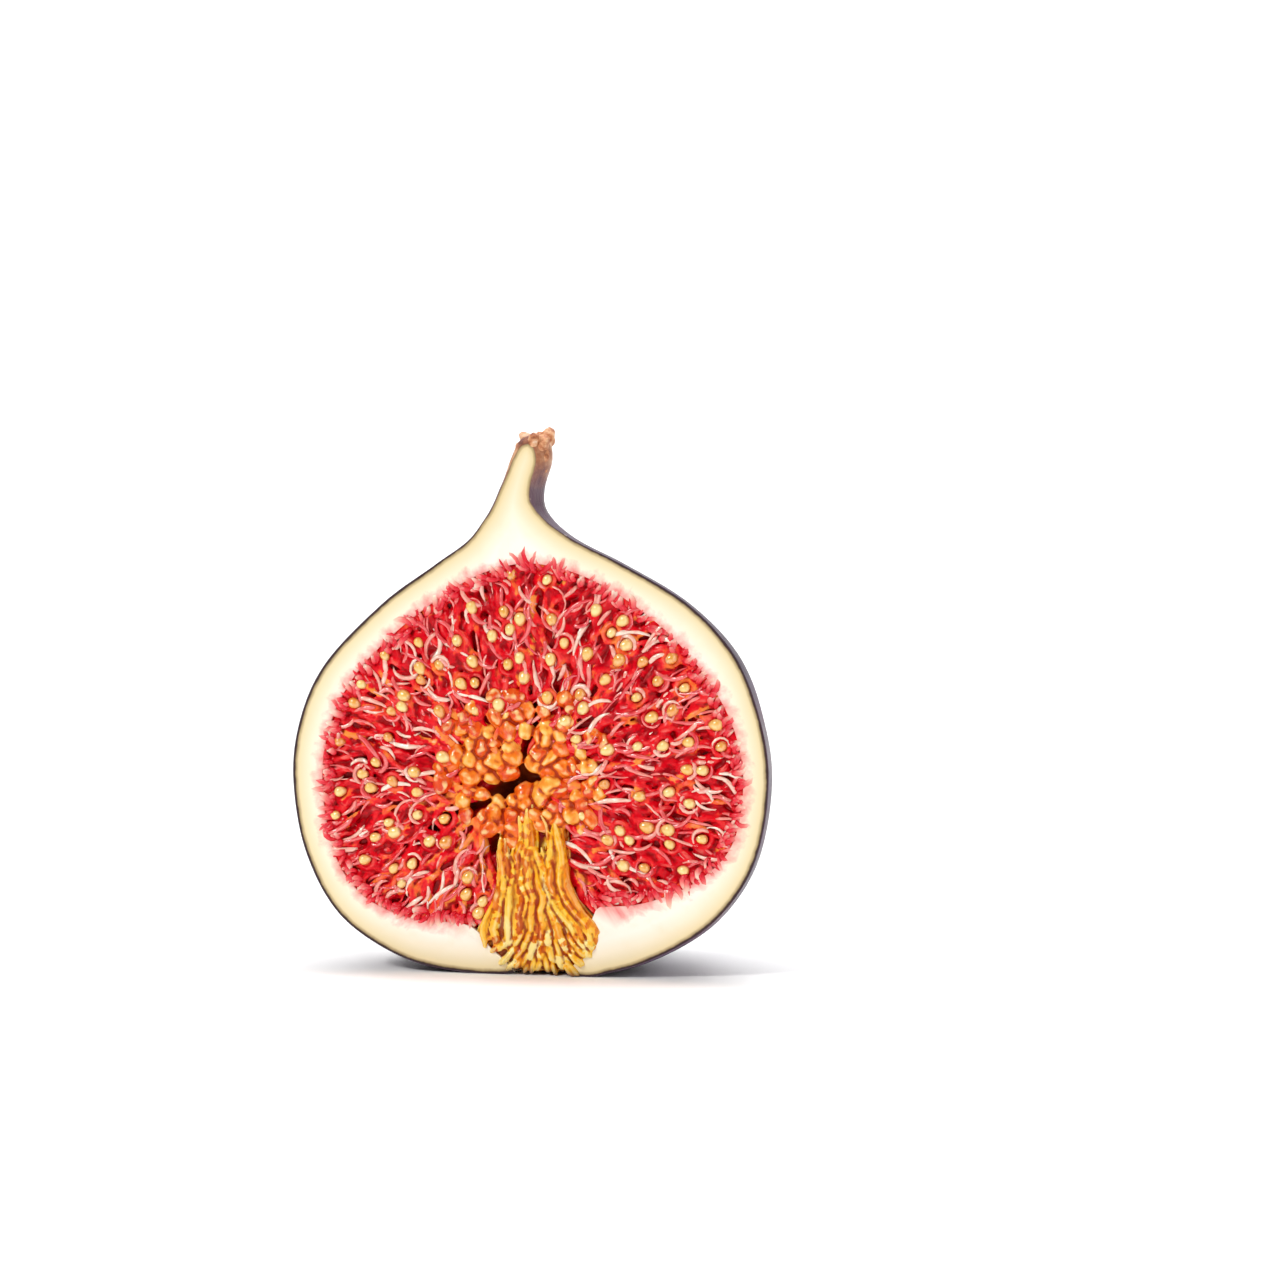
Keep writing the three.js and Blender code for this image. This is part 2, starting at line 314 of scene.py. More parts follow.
def objectPoint():
    return newNode("ShaderNodeTexCoord").outputs["Object"]


def ownValue(name):
    node = newNode("ShaderNodeAttribute")
    node.attribute_name = name
    return node.outputs["Fac"]


def noiseValue(vector, scale, detail=3.0, rough=0.5):
    node = newNode("ShaderNodeTexNoise", Vector=vector, Scale=scale, Detail=detail, Roughness=rough)
    return node.outputs["Fac"]


def spotValue(vector, scale):
    return newNode("ShaderNodeTexVoronoi", Vector=vector, Scale=scale).outputs["Distance"]


# each stop is a place on the ramp and a colour
def rampColour(value, stops):
    node = newNode("ShaderNodeValToRGB", Fac=value)
    bar = node.color_ramp
    while len(bar.elements) < len(stops):
        bar.elements.new(0.5)
    for element, (place, *tone) in zip(bar.elements, stops):
        element.position = place
        element.color = colour(*tone)
    return node.outputs["Color"]


def rangeValue(value, low, high, toLow=0.0, toHigh=1.0):
    node = newNode("ShaderNodeMapRange", Value=value)
    for key, source in zip(("From Min", "From Max", "To Min", "To Max"), (low, high, toLow, toHigh)):
        plug(node.inputs[key], source)
    return node.outputs["Result"]


def maths(kind, first, second):
    node = newNode("ShaderNodeMath")
    node.operation = kind
    plug(node.inputs[0], first)
    plug(node.inputs[1], second)
    return node.outputs["Value"]


def times(first, second):
    return maths("MULTIPLY", first, second)


def plus(first, second):
    return maths("ADD", first, second)


def minus(first, second):
    return maths("SUBTRACT", first, second)


# a noise swung about nought
def swing(value, amount):
    return times(minus(value, 0.5), amount)


def mixColour(share, under, over):
    node = newNode("ShaderNodeMix")
    node.data_type = "RGBA"
    for place, source in ((0, share), (6, under), (7, over)):
        plug(node.inputs[place], source)
    return node.outputs[2]


# a colour washed over another as a value says
def wash(under, tone, value, low, high, toLow=0.0, toHigh=1.0):
    return mixColour(rangeValue(value, low, high, toLow, toHigh), under, colour(*tone))


def joinVector(x, y, z):
    node = newNode("ShaderNodeCombineXYZ")
    for socket, source in zip(node.inputs, (x, y, z)):
        plug(socket, source)
    return node.outputs["Vector"]


def splitVector(vector):
    return newNode("ShaderNodeSeparateXYZ", Vector=vector).outputs


def addBump(height, distance, strength):
    node = newNode("ShaderNodeBump", Height=height, Distance=distance, Strength=strength)
    feed("Normal", node.outputs["Normal"])


def softFlesh(weight, radius, scale):
    feed("Subsurface Weight", weight)
    feed("Subsurface Radius", radius)
    feed("Subsurface Scale", scale)


def wetCoat(weight, roughness):
    feed("Coat Weight", weight)
    feed("Coat Roughness", roughness)
    feed("Coat IOR", 1.9)


# juice stands on the crests and shines, while the grooves stay deep in colour
def wetCrests(crest, most):
    wetCoat(rangeValue(crest, 0.55, 1.0, 0.0, most), 0.16)


# skin, pale rind and stalk: two shells spun from their outlines, cut, and bridged across the cut
rind = {
    "skinOutline": [
        (0.112, 0.0045), (0.17, 0.0), (0.32, 0.0045), (0.53, 0.031), (0.785, 0.104), (0.94, 0.213),
        (1.0, 0.36), (0.97, 0.467), (0.87, 0.578), (0.64, 0.687), (0.39, 0.76), (0.2, 0.812),
        (0.106, 0.862), (0.084, 0.905), (0.079, 0.955), (0.052, 0.99), (0.0, 1.0),
    ],
    "innerOutline": [
        (0.112, 0.0045), (0.14, 0.02), (0.205, 0.05), (0.24, 0.075), (0.28, 0.091), (0.37, 0.094),
        (0.5, 0.101), (0.7, 0.14), (0.83, 0.21), (0.9, 0.35), (0.87, 0.45), (0.76, 0.545),
        (0.56, 0.64), (0.3, 0.722), (0.14, 0.752), (0.0, 0.764),
    ],
    "sides": 168,
    "skinRings": 132,
    "innerRings": 76,
    "faceCuts": 13,
}


# the chain of points along the cut, from the left of the eye over the crown to the right
def cutChain(obj):
    points = meshPoints(obj)
    onCut = np.abs(points[:, 1] - cutY) < 2e-6
    sharing = np.bincount([loop.edge_index for loop in obj.data.loops])
    beside = {}
    for edge in obj.data.edges:
        a, b = edge.vertices
        if onCut[a] and onCut[b] and sharing[edge.index] == 1:
            beside.setdefault(a, []).append(b)
            beside.setdefault(b, []).append(a)
    ends = [v for v in beside if len(beside[v]) == 1]
    here = min(ends, key=lambda v: points[v, 0])
    chain, last = [here], None
    while len(chain) == 1 or len(beside[here]) == 2:
        ahead = [v for v in beside[here] if v != last][0]
        last, here = here, ahead
        chain.append(here)
    return toFruit(points[chain])[:, (0, 2)]


def segmentDistance(spots, starts, ends):
    best = np.full(len(spots), 1e9)
    for a, b in zip(starts, ends):
        run = b - a
        t = np.clip(((spots - a) @ run) / max(run @ run, 1e-9), 0, 1)
        best = np.minimum(best, np.linalg.norm(spots - a - t[:, None] * run, axis=1))
    return best


def chainShare(chain):
    run = np.concatenate(([0], np.cumsum(np.linalg.norm(np.diff(chain, axis=0), axis=1))))
    return run / run[-1]


# a net of faces from the skin's chain to the pulp's, in layers, with the last layer zipped on
def faceNet(outer, inner):
    layers = rind["faceCuts"] + 1
    share = chainShare(inner)
    fine = np.linspace(0, 1, 800)
    finePoints = np.column_stack([np.interp(fine, share, inner[:, i]) for i in (0, 1)])
    nearest = [fine[np.argmin(np.linalg.norm(finePoints - spot, axis=1))] for spot in outer]
    match = np.maximum.accumulate(nearest)
    match[0], match[-1] = 0.0, 1.0
    foot = np.column_stack([np.interp(match, share, inner[:, i]) for i in (0, 1)])
    spots = [outer + (foot - outer) * k / layers for k in range(layers)]
    count = len(outer)
    faces = []
    for k in range(layers - 1):
        for i in range(count - 1):
            faces.append((k * count + i, k * count + i + 1, (k + 1) * count + i + 1, (k + 1) * count + i))
    base, edge = (layers - 1) * count, layers * count
    i = j = 0
    while i < count - 1 or j < len(inner) - 1:
        stepOuter = j == len(inner) - 1 or (i < count - 1 and match[i + 1] <= (share[j] + share[j + 1]) / 2)
        if stepOuter:
            faces.append((base + i, base + i + 1, edge + j))
            i += 1
        else:
            faces.append((base + i, edge + j + 1, edge + j))
            j += 1
    return np.vstack(spots + [inner]), faces


# the middle of the neck, from the top of the pulp to just under the crown
def neckSpine(left, right, foot, crown):
    heights = np.linspace(foot[1] + 0.7, crown[1] - 0.7, 18)
    middles = 0
    for chain in (left, right):
        neck = chain[chain[:, 1] > foot[1] - 2]
        middles = middles + np.interp(heights, neck[:, 1], neck[:, 0]) / 2
    return np.column_stack((middles, heights))


def makeRind():
    shells = []
    chains = []
    for outline, rings, ribbed in (("skinOutline", "skinRings", True), ("innerOutline", "innerRings", False)):
        shell = spunShell(outline, smoothOutline(rind[outline], rind[rings]), rind["sides"])
        points, turn = settle(toFruit(meshPoints(shell)), ribbed)
        points[:, 2] = np.maximum(points[:, 2], 0)
        setPoints(shell, toScene(points))
        setValues(shell, "meridian", np.where(turn < -math.pi / 2, turn + twoPi, turn))
        setValues(shell, "inner", np.full(len(points), 0.0 if ribbed else 1.0))
        cutAway(shell, cutY, False)
        chains.append(cutChain(shell))
        shells.append(shell)
    crowns = [np.argmax(chain[:, 1]) for chain in chains]
    sides = [
        [chain[: crown + 1] for chain, crown in zip(chains, crowns)],
        [chain[crown:][::-1] for chain, crown in zip(chains, crowns)],
    ]
    spine = neckSpine(sides[0][0], sides[1][0], chains[1][crowns[1]], chains[0][crowns[0]])
    for outer, inner in sides:
        spots, faces = faceNet(outer, np.vstack((inner, spine)))
        mesh = bpy.data.meshes.new("cut_face")
        mesh.from_pydata(toScene(np.insert(spots, 1, knifeY, axis=1)), [], faces)
        shells.append(bring("cut_face", mesh))
    whole = joinAll(shells, "fig_skin_and_rind")
    startEdit()
    bpy.ops.mesh.remove_doubles(threshold=2e-6)
    bpy.ops.mesh.normals_make_consistent(inside=False)
    endEdit()
    points = toFruit(meshPoints(whole))
    onCut = np.abs(points[:, 1] - knifeY) < 3e-3
    spots = points[onCut][:, (0, 2)]
    inner = getValues(whole, "inner") > 0.5
    fills = (("skinDepth", 6.0, 0.0), ("pulpNear", 0.0, 9.0))
    for chain, (name, onInner, onSkin) in zip(chains, fills):
        reach = np.where(inner, onInner, onSkin)
        reach[onCut] = segmentDistance(spots, chain, chain[1:])
        setValues(whole, name, reach)
    takeUp(whole)
    bpy.ops.object.shade_smooth_by_angle(angle=math.radians(38))
    return whole


def rindFinish():
    finish = startFinish("fig_skin_and_rind", 0.5, 1.42)
    point = objectPoint()
    depth = ownValue("skinDepth")
    near = ownValue("pulpNear")
    meridian = ownValue("meridian")
    x, _, z = splitVector(point)
    along = joinVector(times(meridian, 9.0), times(z, 28.0), 0.0)
    # skin: dark purple under a lilac bloom, in long streaks from the stalk
    streaks = noiseValue(along, 2.2, 5.0, 0.6)
    fineStreaks = noiseValue(along, 9.0, 3.0, 0.55)
    bloom = noiseValue(point, 95.0, 4.0, 0.55)
    grain = noiseValue(point, 420.0, 4.0, 0.6)
    skin = rampColour(streaks, [(0.3, 38, 24, 38), (0.5, 66, 46, 66), (0.68, 92, 72, 96)])
    skin = wash(skin, (133, 116, 141), bloom, 0.46, 0.72, 0.0, 0.75)
    skin = wash(skin, (44, 24, 36), fineStreaks, 0.52, 0.8, 0.0, 0.55)
    rosy = noiseValue(point, 60.0, 2.0, 0.5)
    skin = wash(skin, (96, 40, 58), rosy, 0.55, 0.75, 0.0, 0.5)
    specks = spotValue(point, 420.0)
    skin = wash(skin, (176, 158, 150), specks, 0.06, 0.1, 0.7, 0.0)
    # the neck pales to green and rose towards the stalk
    neckShare = rangeValue(plus(z, times(streaks, 0.012)), 0.058, 0.067)
    stops = [(0.3, 70, 42, 52), (0.5, 122, 94, 104), (0.66, 154, 130, 128), (0.8, 180, 160, 136)]
    skin = mixColour(neckShare, skin, rampColour(fineStreaks, stops))
    tipShare = rangeValue(plus(z, times(bloom, 0.004)), 0.0600, 0.0632)
    stops = [(0.3, 112, 58, 44), (0.45, 172, 110, 76), (0.6, 206, 156, 118), (0.75, 236, 206, 176)]
    skin = mixColour(tipShare, skin, rampColour(grain, stops))
    # cut rind: cream, yellower under the skin, rosy beside the pulp
    stops = [(0.04, 222, 198, 140), (0.2, 240, 223, 180), (0.5, 251, 240, 214), (0.85, 255, 250, 236)]
    cream = rampColour(rangeValue(depth, 0.0, 4.5), stops)
    # rosy streaks run out from the pulp
    aside = minus(x, float(axis[0]))
    around = maths("ARCTAN2", minus(z, 0.024), aside)
    outwards = joinVector(times(around, 17.0), times(near, 0.5), 0.0)
    fuzz = minus(near, times(noiseValue(outwards, 1.0, 3.0, 0.6), 3.2))
    eyeAside = maths("DIVIDE", minus(aside, 0.0024), 0.0122)
    eyeAbove = maths("DIVIDE", minus(z, 0.002), 0.0066)
    offEye = plus(times(eyeAside, eyeAside), times(eyeAbove, eyeAbove))
    rose = times(rangeValue(fuzz, -2.0, -0.3, 0.9, 0.0), rangeValue(offEye, 0.8, 1.3))
    flesh = mixColour(rose, cream, colour(238, 90, 94))
    flesh = wash(flesh, (243, 226, 186), grain, 0.5, 0.8, 0.0, 0.25)
    sliced = mixColour(rangeValue(z, 0.050, 0.058), colour(52, 30, 32), colour(116, 80, 70))
    skin = mixColour(rangeValue(depth, 0.02, 0.12), skin, sliced)
    wobble = swing(noiseValue(point, 900.0, 2.0), 0.22)
    edge = plus(depth, plus(wobble, rangeValue(z, 0.046, 0.056, 0.0, 0.2)))
    flesh = wash(flesh, (158, 134, 94), edge, 0.32, 0.7, 1.0, 0.0)
    isSkin = rangeValue(edge, 0.24, 0.38, 1.0, 0.0)
    feed("Base Color", mixColour(isSkin, flesh, skin))
    gloss = rangeValue(bloom, 0.4, 0.7, 0.36, 0.6)
    cutGloss = rangeValue(grain, 0.3, 0.7, 0.34, 0.5)
    feed("Roughness", rangeValue(isSkin, 0.0, 1.0, cutGloss, gloss))
    addBump(plus(times(fineStreaks, 0.6), times(grain, 0.4)), 0.0003, 0.35)
    return finish


skinAndRind = makeRind()
dress(skinAndRind, rindFinish())
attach(skinAndRind, "root")
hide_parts("receptacle")
print("skin and rind:", len(skinAndRind.data.polygons), "faces")

# pulp: a bed behind the cut, with the hollow and its clefts sunk into it
pulp = {
    "outline": [
        (0.0, 0.1), (0.28, 0.092), (0.5, 0.101), (0.7, 0.14), (0.83, 0.21), (0.9, 0.35),
        (0.87, 0.45), (0.76, 0.545), (0.56, 0.64), (0.3, 0.722), (0.14, 0.752), (0.0, 0.764),
    ],
    "sides": 72,
    "recess": 1.25,
    "voxel": 0.42,
    "slim": 0.3 / 25,  # share kept free of the rind
    "hollowReach": 1.7,
    "hollowDepth": 3.0,
    "clefts": [
        ((-2.4, 22.4), (-0.2, 26.0), 0.75), ((-0.2, 26.0), (0.9, 32.9), 0.5),
        ((-2.4, 22.4), (-12.5, 17.4), 0.5), ((-1.2, 23.4), (8.6, 24.3), 0.5),
        ((-3.0, 21.5), (-4.4, 15.0), 0.35),
    ],
    "cleftDepth": 2.0,
    "field": (-28.5, 57, 54),  # what staggered places cover: left end, width, height
}
eyePlace = {
    "outline": [
        (0.0, 0.008), (0.07, 0.01), (0.14, 0.016), (0.212, 0.05), (0.244, 0.076), (0.18, 0.125),
        (0.138, 0.176), (0.136, 0.23), (0.116, 0.29), (0.08, 0.322), (0.0, 0.335),
    ],
    "top": 0.7,  # x of its middle, above and at the base
    "base": 1.9,
}
pulpSide = smoothOutline(pulp["outline"], 90)
eyeSide = smoothOutline(eyePlace["outline"], 60)
hollow = np.array(fruit["hollow"])


def eyeMiddle(z):
    return eyePlace["top"] + (eyePlace["base"] - eyePlace["top"]) * (1 - smoothStep(z, 4, 12))


def eyeHalf(z):
    return float(np.interp(z, eyeSide[:, 1], eyeSide[:, 0]))


def roundLoop(side):
    return np.vstack((side, side[-2:0:-1] * (-1, 1)))


pulpLoop = settle(np.insert(roundLoop(pulpSide), 1, 0.0, axis=1), False)[0][:, (0, 2)]
eyeLoop = roundLoop(eyeSide)
eyeLoop[:, 0] += eyeMiddle(eyeLoop[:, 1])


def insideLoop(loop, x, z):
    a, b = loop, np.roll(loop, -1, axis=0)
    crosses = (a[:, 1] > z) != (b[:, 1] > z)
    span = np.where(b[:, 1] == a[:, 1], 1e-9, b[:, 1] - a[:, 1])
    return bool(np.count_nonzero(crosses & (x < (b[:, 0] - a[:, 0]) * (z - a[:, 1]) / span + a[:, 0])) % 2)


def loopDistance(loop, x, z):
    spot = np.array([[x, z]])
    a, b = loop, np.roll(loop, -1, axis=0)
    run = b - a
    t = np.clip(((spot - a) * run).sum(axis=1) / np.maximum((run * run).sum(axis=1), 1e-9), 0, 1)
    return float(np.linalg.norm(spot - a - t[:, None] * run, axis=1).min())


def onPulp(x, z, margin, eyeMargin):
    inside = insideLoop(pulpLoop, x, z) and loopDistance(pulpLoop, x, z) > margin
    return inside and not insideLoop(eyeLoop, x, z) and loopDistance(eyeLoop, x, z) > eyeMargin


def fromHollow(x, z):
    return math.hypot(x - hollow[0], z - hollow[1])


# room for a piece: inside its margins from the rind and the eye, and clear of the hollow
def roomFor(piece, x, z):
    return onPulp(x, z, *piece["margins"]) and fromHollow(x, z) > piece["clear"]


def fromCleft(x, z):
    spot = np.array([[x, z]])
    return min(segmentDistance(spot, [np.array(a)], [np.array(b)])[0] - w for a, b, w in pulp["clefts"])


def waver(x, z, scale, layer):
    return noise.noise(Vector((x / scale, z / scale, layer)))


# strands of the pulp lie along this heading: to the hollow, with slow swirls
def flowHeading(x, z):
    swirl = waver(x, z, 5.2, 3.1) + 0.5 * waver(x, z, 2.4, 7.7)
    return math.atan2(hollow[1] - z, hollow[0] - x) + 0.85 * swirl


def staggeredSpots(pitch, shift, draw):
    left, width, height = pulp["field"]
    rowStep = pitch * math.sin(math.pi / 3)
    spots = []
    for row in range(int(height / rowStep)):
        for column in range(int(width / pitch)):
            x = left + (column + (row % 2) / 2) * pitch + draw.uniform(-shift, shift)
            z = row * rowStep + draw.uniform(-shift, shift)
            spots.append((x, z))
    return spots


def makeBed():
    bed = spunShell("fig_pulp_bed", pulpSide * (1 - pulp["slim"], 1), pulp["sides"])
    setPoints(bed, toScene(settle(toFruit(meshPoints(bed)), False)[0]))
    cutAway(bed, cutY + pulp["recess"] * mm, True)
    applyModifier(bed, "REMESH", mode="VOXEL", voxel_size=pulp["voxel"] * mm)
    points = toFruit(meshPoints(bed))
    face = knifeY + pulp["recess"]
    front = 1 - smoothStep(points[:, 1], face + 0.15, face + 0.9)
    sink = np.zeros(len(points))
    for i, (x, _, z) in enumerate(points):
        if front[i] <= 0:
            continue
        lump = 0.55 * waver(x, z, 1.5, 8.0) + 0.25 * waver(x, z, 0.7, 2.0)
        sink[i] = lump + pulp["hollowDepth"] * math.exp(-(fromHollow(x, z) / pulp["hollowReach"]) ** 2)
        sink[i] += pulp["cleftDepth"] * (1 - float(smoothStep(fromCleft(x, z), -0.2, 0.5)))
    points[:, 1] += front * sink
    setPoints(bed, toScene(points))
    takeUp(bed)
    bpy.ops.object.shade_smooth()
    return bed


def bedFinish():
    finish = startFinish("fig_pulp_bed", 0.25, 1.4, 0.25)
    point = objectPoint()
    mottle = noiseValue(point, 900.0, 3.0, 0.6)
    backward = minus(splitVector(point)[1], cutY)
    wet = rampColour(mottle, [(0.3, 132, 0, 6), (0.55, 168, 0, 10), (0.75, 196, 4, 16)])
    # deeper behind the cut the bed turns brown: painted shade in the hollow and clefts
    deep = rangeValue(backward, 0.0020, 0.0036)
    feed("Base Color", mixColour(deep, wet, colour(140, 54, 16)))
    addBump(mottle, 0.0004, 0.5)
    return finish


pulpBed = makeBed()
dress(pulpBed, bedFinish())
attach(pulpBed, "root")
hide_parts("pulp")
print("pulp bed:", len(pulpBed.data.polygons), "faces")


# strands: bevelled curves with a radius at each point, made into one mesh
def strandMesh(name, strands):
    clearSelection()
    bpy.ops.curve.primitive_nurbs_path_add()
    obj = bpy.context.object
    obj.name = name
    curve = obj.data
    curve.splines.clear()
    curve.dimensions = "3D"
    curve.bevel_depth = mm
    curve.bevel_resolution = 1
    tints, alongs = [], []
    sides = 6  # round a strand at that resolution
    for path, radii, tint in strands:
        spline = curve.splines.new("POLY")
        spline.points.add(len(path) - 1)
        places = np.column_stack((toScene(path), np.ones(len(path))))
        spline.points.foreach_set("co", places.astype(np.float32).ravel())
        spline.points.foreach_set("radius", np.asarray(radii, np.float32))
        tints.append(np.full(len(path) * sides, tint))
        alongs.append(np.repeat(np.linspace(0, 1, len(path)), sides))
    takeUp(obj)
    bpy.ops.object.transform_apply(location=True, rotation=True, scale=True)
    bpy.ops.object.convert(target="MESH")
    obj = bpy.context.object
    obj.data.name = name
    setValues(obj, "tint", np.concatenate(tints))
    setValues(obj, "along", np.concatenate(alongs))
    startEdit()
    bpy.ops.mesh.fill_holes(sides=0)
    bpy.ops.mesh.normals_make_consistent(inside=False)
    endEdit()
    bpy.ops.object.shade_smooth()
    return obj


# a path on the cut: heads off at an angle, turns steadily, and rises and dips in depth
def strandPath(x, z, heading, length, turn, depths):
    steps = len(depths) - 1
    path = []
    for i, depth in enumerate(depths):
        path.append((x, knifeY + depth, z))
        angle = heading + turn * (i / steps - 0.5)
        x += math.cos(angle) * length / steps
        z += math.sin(angle) * length / steps
    return path


def goBack(x, z, heading, reach):
    return x - reach * math.cos(heading), z - reach * math.sin(heading)


# the front of a soft mass in small cells, and how far each of its points stands out from its neighbours
melt = {"cell": 0.25, "cells": 256, "empty": 1.2, "scrap": 150}


def cellsOf(x, z):
    column = np.clip(((np.asarray(x) + 32) / melt["cell"]).astype(int), 0, melt["cells"] - 1)
    row = np.clip((np.asarray(z) / melt["cell"]).astype(int), 0, melt["cells"] - 1)
    return column, row


def frontGrid(points):
    grid = np.full((melt["cells"], melt["cells"]), knifeY + melt["empty"])
    np.minimum.at(grid, cellsOf(points[:, 0], points[:, 2]), points[:, 1])
    return grid


def blurGrid(grid, reach):
    for side in (0, 1):
        grid = sum(np.roll(grid, step, axis=side) for step in range(-reach, reach + 1)) / (2 * reach + 1)
    return grid


# bits that hang on to nothing are thrown away
def dropScraps(mass, name):
    takeUp(mass)
    startEdit()
    bpy.ops.mesh.separate(type="LOOSE")
    endEdit()
    kept = []
    for part in list(bpy.context.selected_objects):
        if len(part.data.polygons) < melt["scrap"]:
            discard(part)
        else:
            kept.append(part)
    return joinAll(kept, name)


# strands and lumps melt into one wet mass, and each point takes the tint of the strand it came from
def meltTogether(objects, name, strands, piece, blur):
    mass = joinAll(objects, name)
    applyModifier(mass, "REMESH", mode="VOXEL", voxel_size=piece["voxel"] * mm)
    mass = dropScraps(mass, name)
    applyModifier(mass, "SMOOTH", factor=0.5, iterations=1)
    triangles = 2 * len(mass.data.polygons)
    if triangles > piece["most"]:
        applyModifier(mass, "DECIMATE", ratio=piece["most"] / triangles)
        applyModifier(mass, "SMOOTH", factor=0.3, iterations=1)
    points = toFruit(meshPoints(mass))
    spots = [(spot, tint) for path, _, tint in strands for spot in path]
    finder = kdtree.KDTree(len(spots))
    for i, (spot, _) in enumerate(spots):
        finder.insert(spot, i)
    finder.balance()
    setValues(mass, "tint", [spots[finder.find(p)[1]][1] for p in points])
    applyModifier(mass, "SMOOTH", factor=0.5, iterations=blur)
    # how far each point stands out from its neighbours: the finishes paint highlights on the crests and shade
    # in the grooves from it
    crest = toFruit(meshPoints(mass))[:, 1] - points[:, 1]
    setPoints(mass, toScene(points))
    front = frontGrid(points)[cellsOf(points[:, 0], points[:, 2])]
    low, high = np.percentile(crest[points[:, 1] < front + 0.3], (8, 92))
    setValues(mass, "crest", (crest - low) / (high - low))
    takeUp(mass)
    bpy.ops.object.shade_smooth()
    return mass


# seeds, each in its place on the cut
seeds = {
    "pitch": 3.6,
    "shift": 1.25,
    "length": 0.84,
    "girth": 0.68,
    "taper": 0.22,
    "skip": 0.14,
    "margins": (1.1, 0.9),
    "clear": 8.5,
    "depths": (0.1, 0.2, 0.3, 0.5),
    "grow": (0.82, 1.14),
    "seed": 5,
}


def seedSpots():
    draw = random.Random(seeds["seed"])
    spots = []
    for x, z in staggeredSpots(seeds["pitch"], seeds["shift"], draw):
        if roomFor(seeds, x, z) and draw.random() > seeds["skip"]:
            spots.append((x, z, draw.choice(seeds["depths"])))
    return spots


seedPlaces = seedSpots()


def nearSeed(x, z, reach):
    return any(math.hypot(x - a, z - b) < reach for a, b, _ in seedPlaces)



# florets: broad ones below, fine ones over them, and a cup round each seed
florets = {
    "broad": {
        "pitch": 1.18, "shift": 0.45, "length": (2.8, 5.4), "radius": (0.34, 0.6),
        "lift": (-0.1, 0.6), "tint": (0.36, 0.18),
    },
    "fine": {
        "pitch": 1.9, "shift": 0.7, "length": (2.4, 4.8), "radius": (0.24, 0.36),
        "lift": (-0.45, -0.05), "tint": (0.6, 0.2),
    },
    "girth": (0.3, 0.66, 0.92, 1.0, 0.9, 0.66, 0.3),
    "rise": (1.5, 1.1, 0.85, 0.7, 0.7, 0.9, 1.3),
    "turn": 1.5,
    "swing": 0.4,
    "cup": (0.95, 1.2),
    "cupRadius": (0.24, 0.36),
    "cupTint": (0.4, 0.9),
    "border": 300,  # lobes along the edge of the pulp
    "lobeLength": (1.4, 2.6),
    "lobeRadius": (0.34, 0.52),
    "lobeTint": (0.5, 0.15),
    "margins": (0.2, 0.2),
    "clear": 4.6,
    "cleftClear": (11, 0.55, 0.15),  # how far out, and what stays clear nearer and farther
    "seedClear": 1.1,
    "warm": (0.85, 13),  # paler towards the hollow: share, reach
    "orange": (0.32, -8.5, 5.5, 10.5, 6.0),  # a patch left of the eye: share, x, width, z, height
    "voxel": 0.19,
    "most": 185000,
    "seed": 11,
}


# places along the edge of the pulp, each with the way out
def borderSpots(count, draw):
    run = np.vstack((pulpLoop, pulpLoop[:1]))
    share = chainShare(run)
    spots = []
    for i in range(count):
        here = (i + draw.random()) / count
        x, z = (float(np.interp(here, share, run[:, k])) for k in (0, 1))
        ahead = (here + 0.004) % 1
        tx, tz = (float(np.interp(ahead, share, run[:, k])) for k in (0, 1))
        if z > 11 or abs(x - eyeMiddle(z)) > eyeHalf(z) + 1.2:
            spots.append((x, z, math.atan2(-(tx - x), tz - z)))
    return spots


def makeFlorets():
    draw = random.Random(florets["seed"])
    cleftReach, nearCleft, farCleft = florets["cleftClear"]
    warmShare, warmReach = florets["warm"]
    patchShare, patchX, patchWide, patchZ, patchHigh = florets["orange"]
    strands = []
    for kind in (florets["broad"], florets["fine"]):
        for x, z in staggeredSpots(kind["pitch"], kind["shift"], draw):
            away = fromHollow(x, z)
            cleftGap = nearCleft if away < cleftReach else farCleft
            if not roomFor(florets, x, z) or fromCleft(x, z) < cleftGap:
                continue
            if kind is florets["fine"] and nearSeed(x, z, florets["seedClear"]):
                continue
            heading = flowHeading(x, z) + draw.uniform(-florets["swing"], florets["swing"])
            length = draw.uniform(*kind["length"])
            radius = draw.uniform(*kind["radius"])
            lift = draw.uniform(*kind["lift"])
            start = goBack(x, z, heading, 0.55 * length)
            turn = draw.uniform(-florets["turn"], florets["turn"])
            path = strandPath(*start, heading, length, turn, [d + lift for d in florets["rise"]])
            warm = warmShare * max(0.0, 1 - away / warmReach)
            warm += patchShare * math.exp(-((x - patchX) / patchWide) ** 2 - ((z - patchZ) / patchHigh) ** 2)
            tint = min(1.0, max(0.0, draw.gauss(*kind["tint"]) + warm))
            strands.append((path, [radius * g for g in florets["girth"]], tint))
    for x, z, outward in borderSpots(florets["border"], draw):
        length, radius = draw.uniform(*florets["lobeLength"]), draw.uniform(*florets["lobeRadius"])
        heading = outward + draw.uniform(-0.9, 0.9)
        depths = [d * 0.75 for d in florets["rise"]]
        start = goBack(x, z, heading, 0.75 * length)
        path = strandPath(*start, heading, length, draw.uniform(-1, 1), depths)
        strands.append((path, [radius * g for g in florets["girth"]], draw.gauss(*florets["lobeTint"])))
    for x, z, depth in seedPlaces:
        ring = draw.uniform(*florets["cup"])
        squash = draw.uniform(0.8, 1.0)
        tilt = flowHeading(x, z)
        radius = draw.uniform(*florets["cupRadius"])
        path = []
        for i in range(13):
            angle = twoPi * i / 12
            along, across = ring * math.cos(angle), ring * squash * math.sin(angle)
            spotX = x + along * math.cos(tilt) - across * math.sin(tilt)
            spotZ = z + along * math.sin(tilt) + across * math.cos(tilt)
            path.append((spotX, knifeY + depth + 0.25 + 0.12 * math.sin(2 * angle), spotZ))
        strands.append((path, [radius] * 13, draw.uniform(*florets["cupTint"])))
    return meltTogether([strandMesh("strands", strands)], "fig_florets", strands, florets, 14)


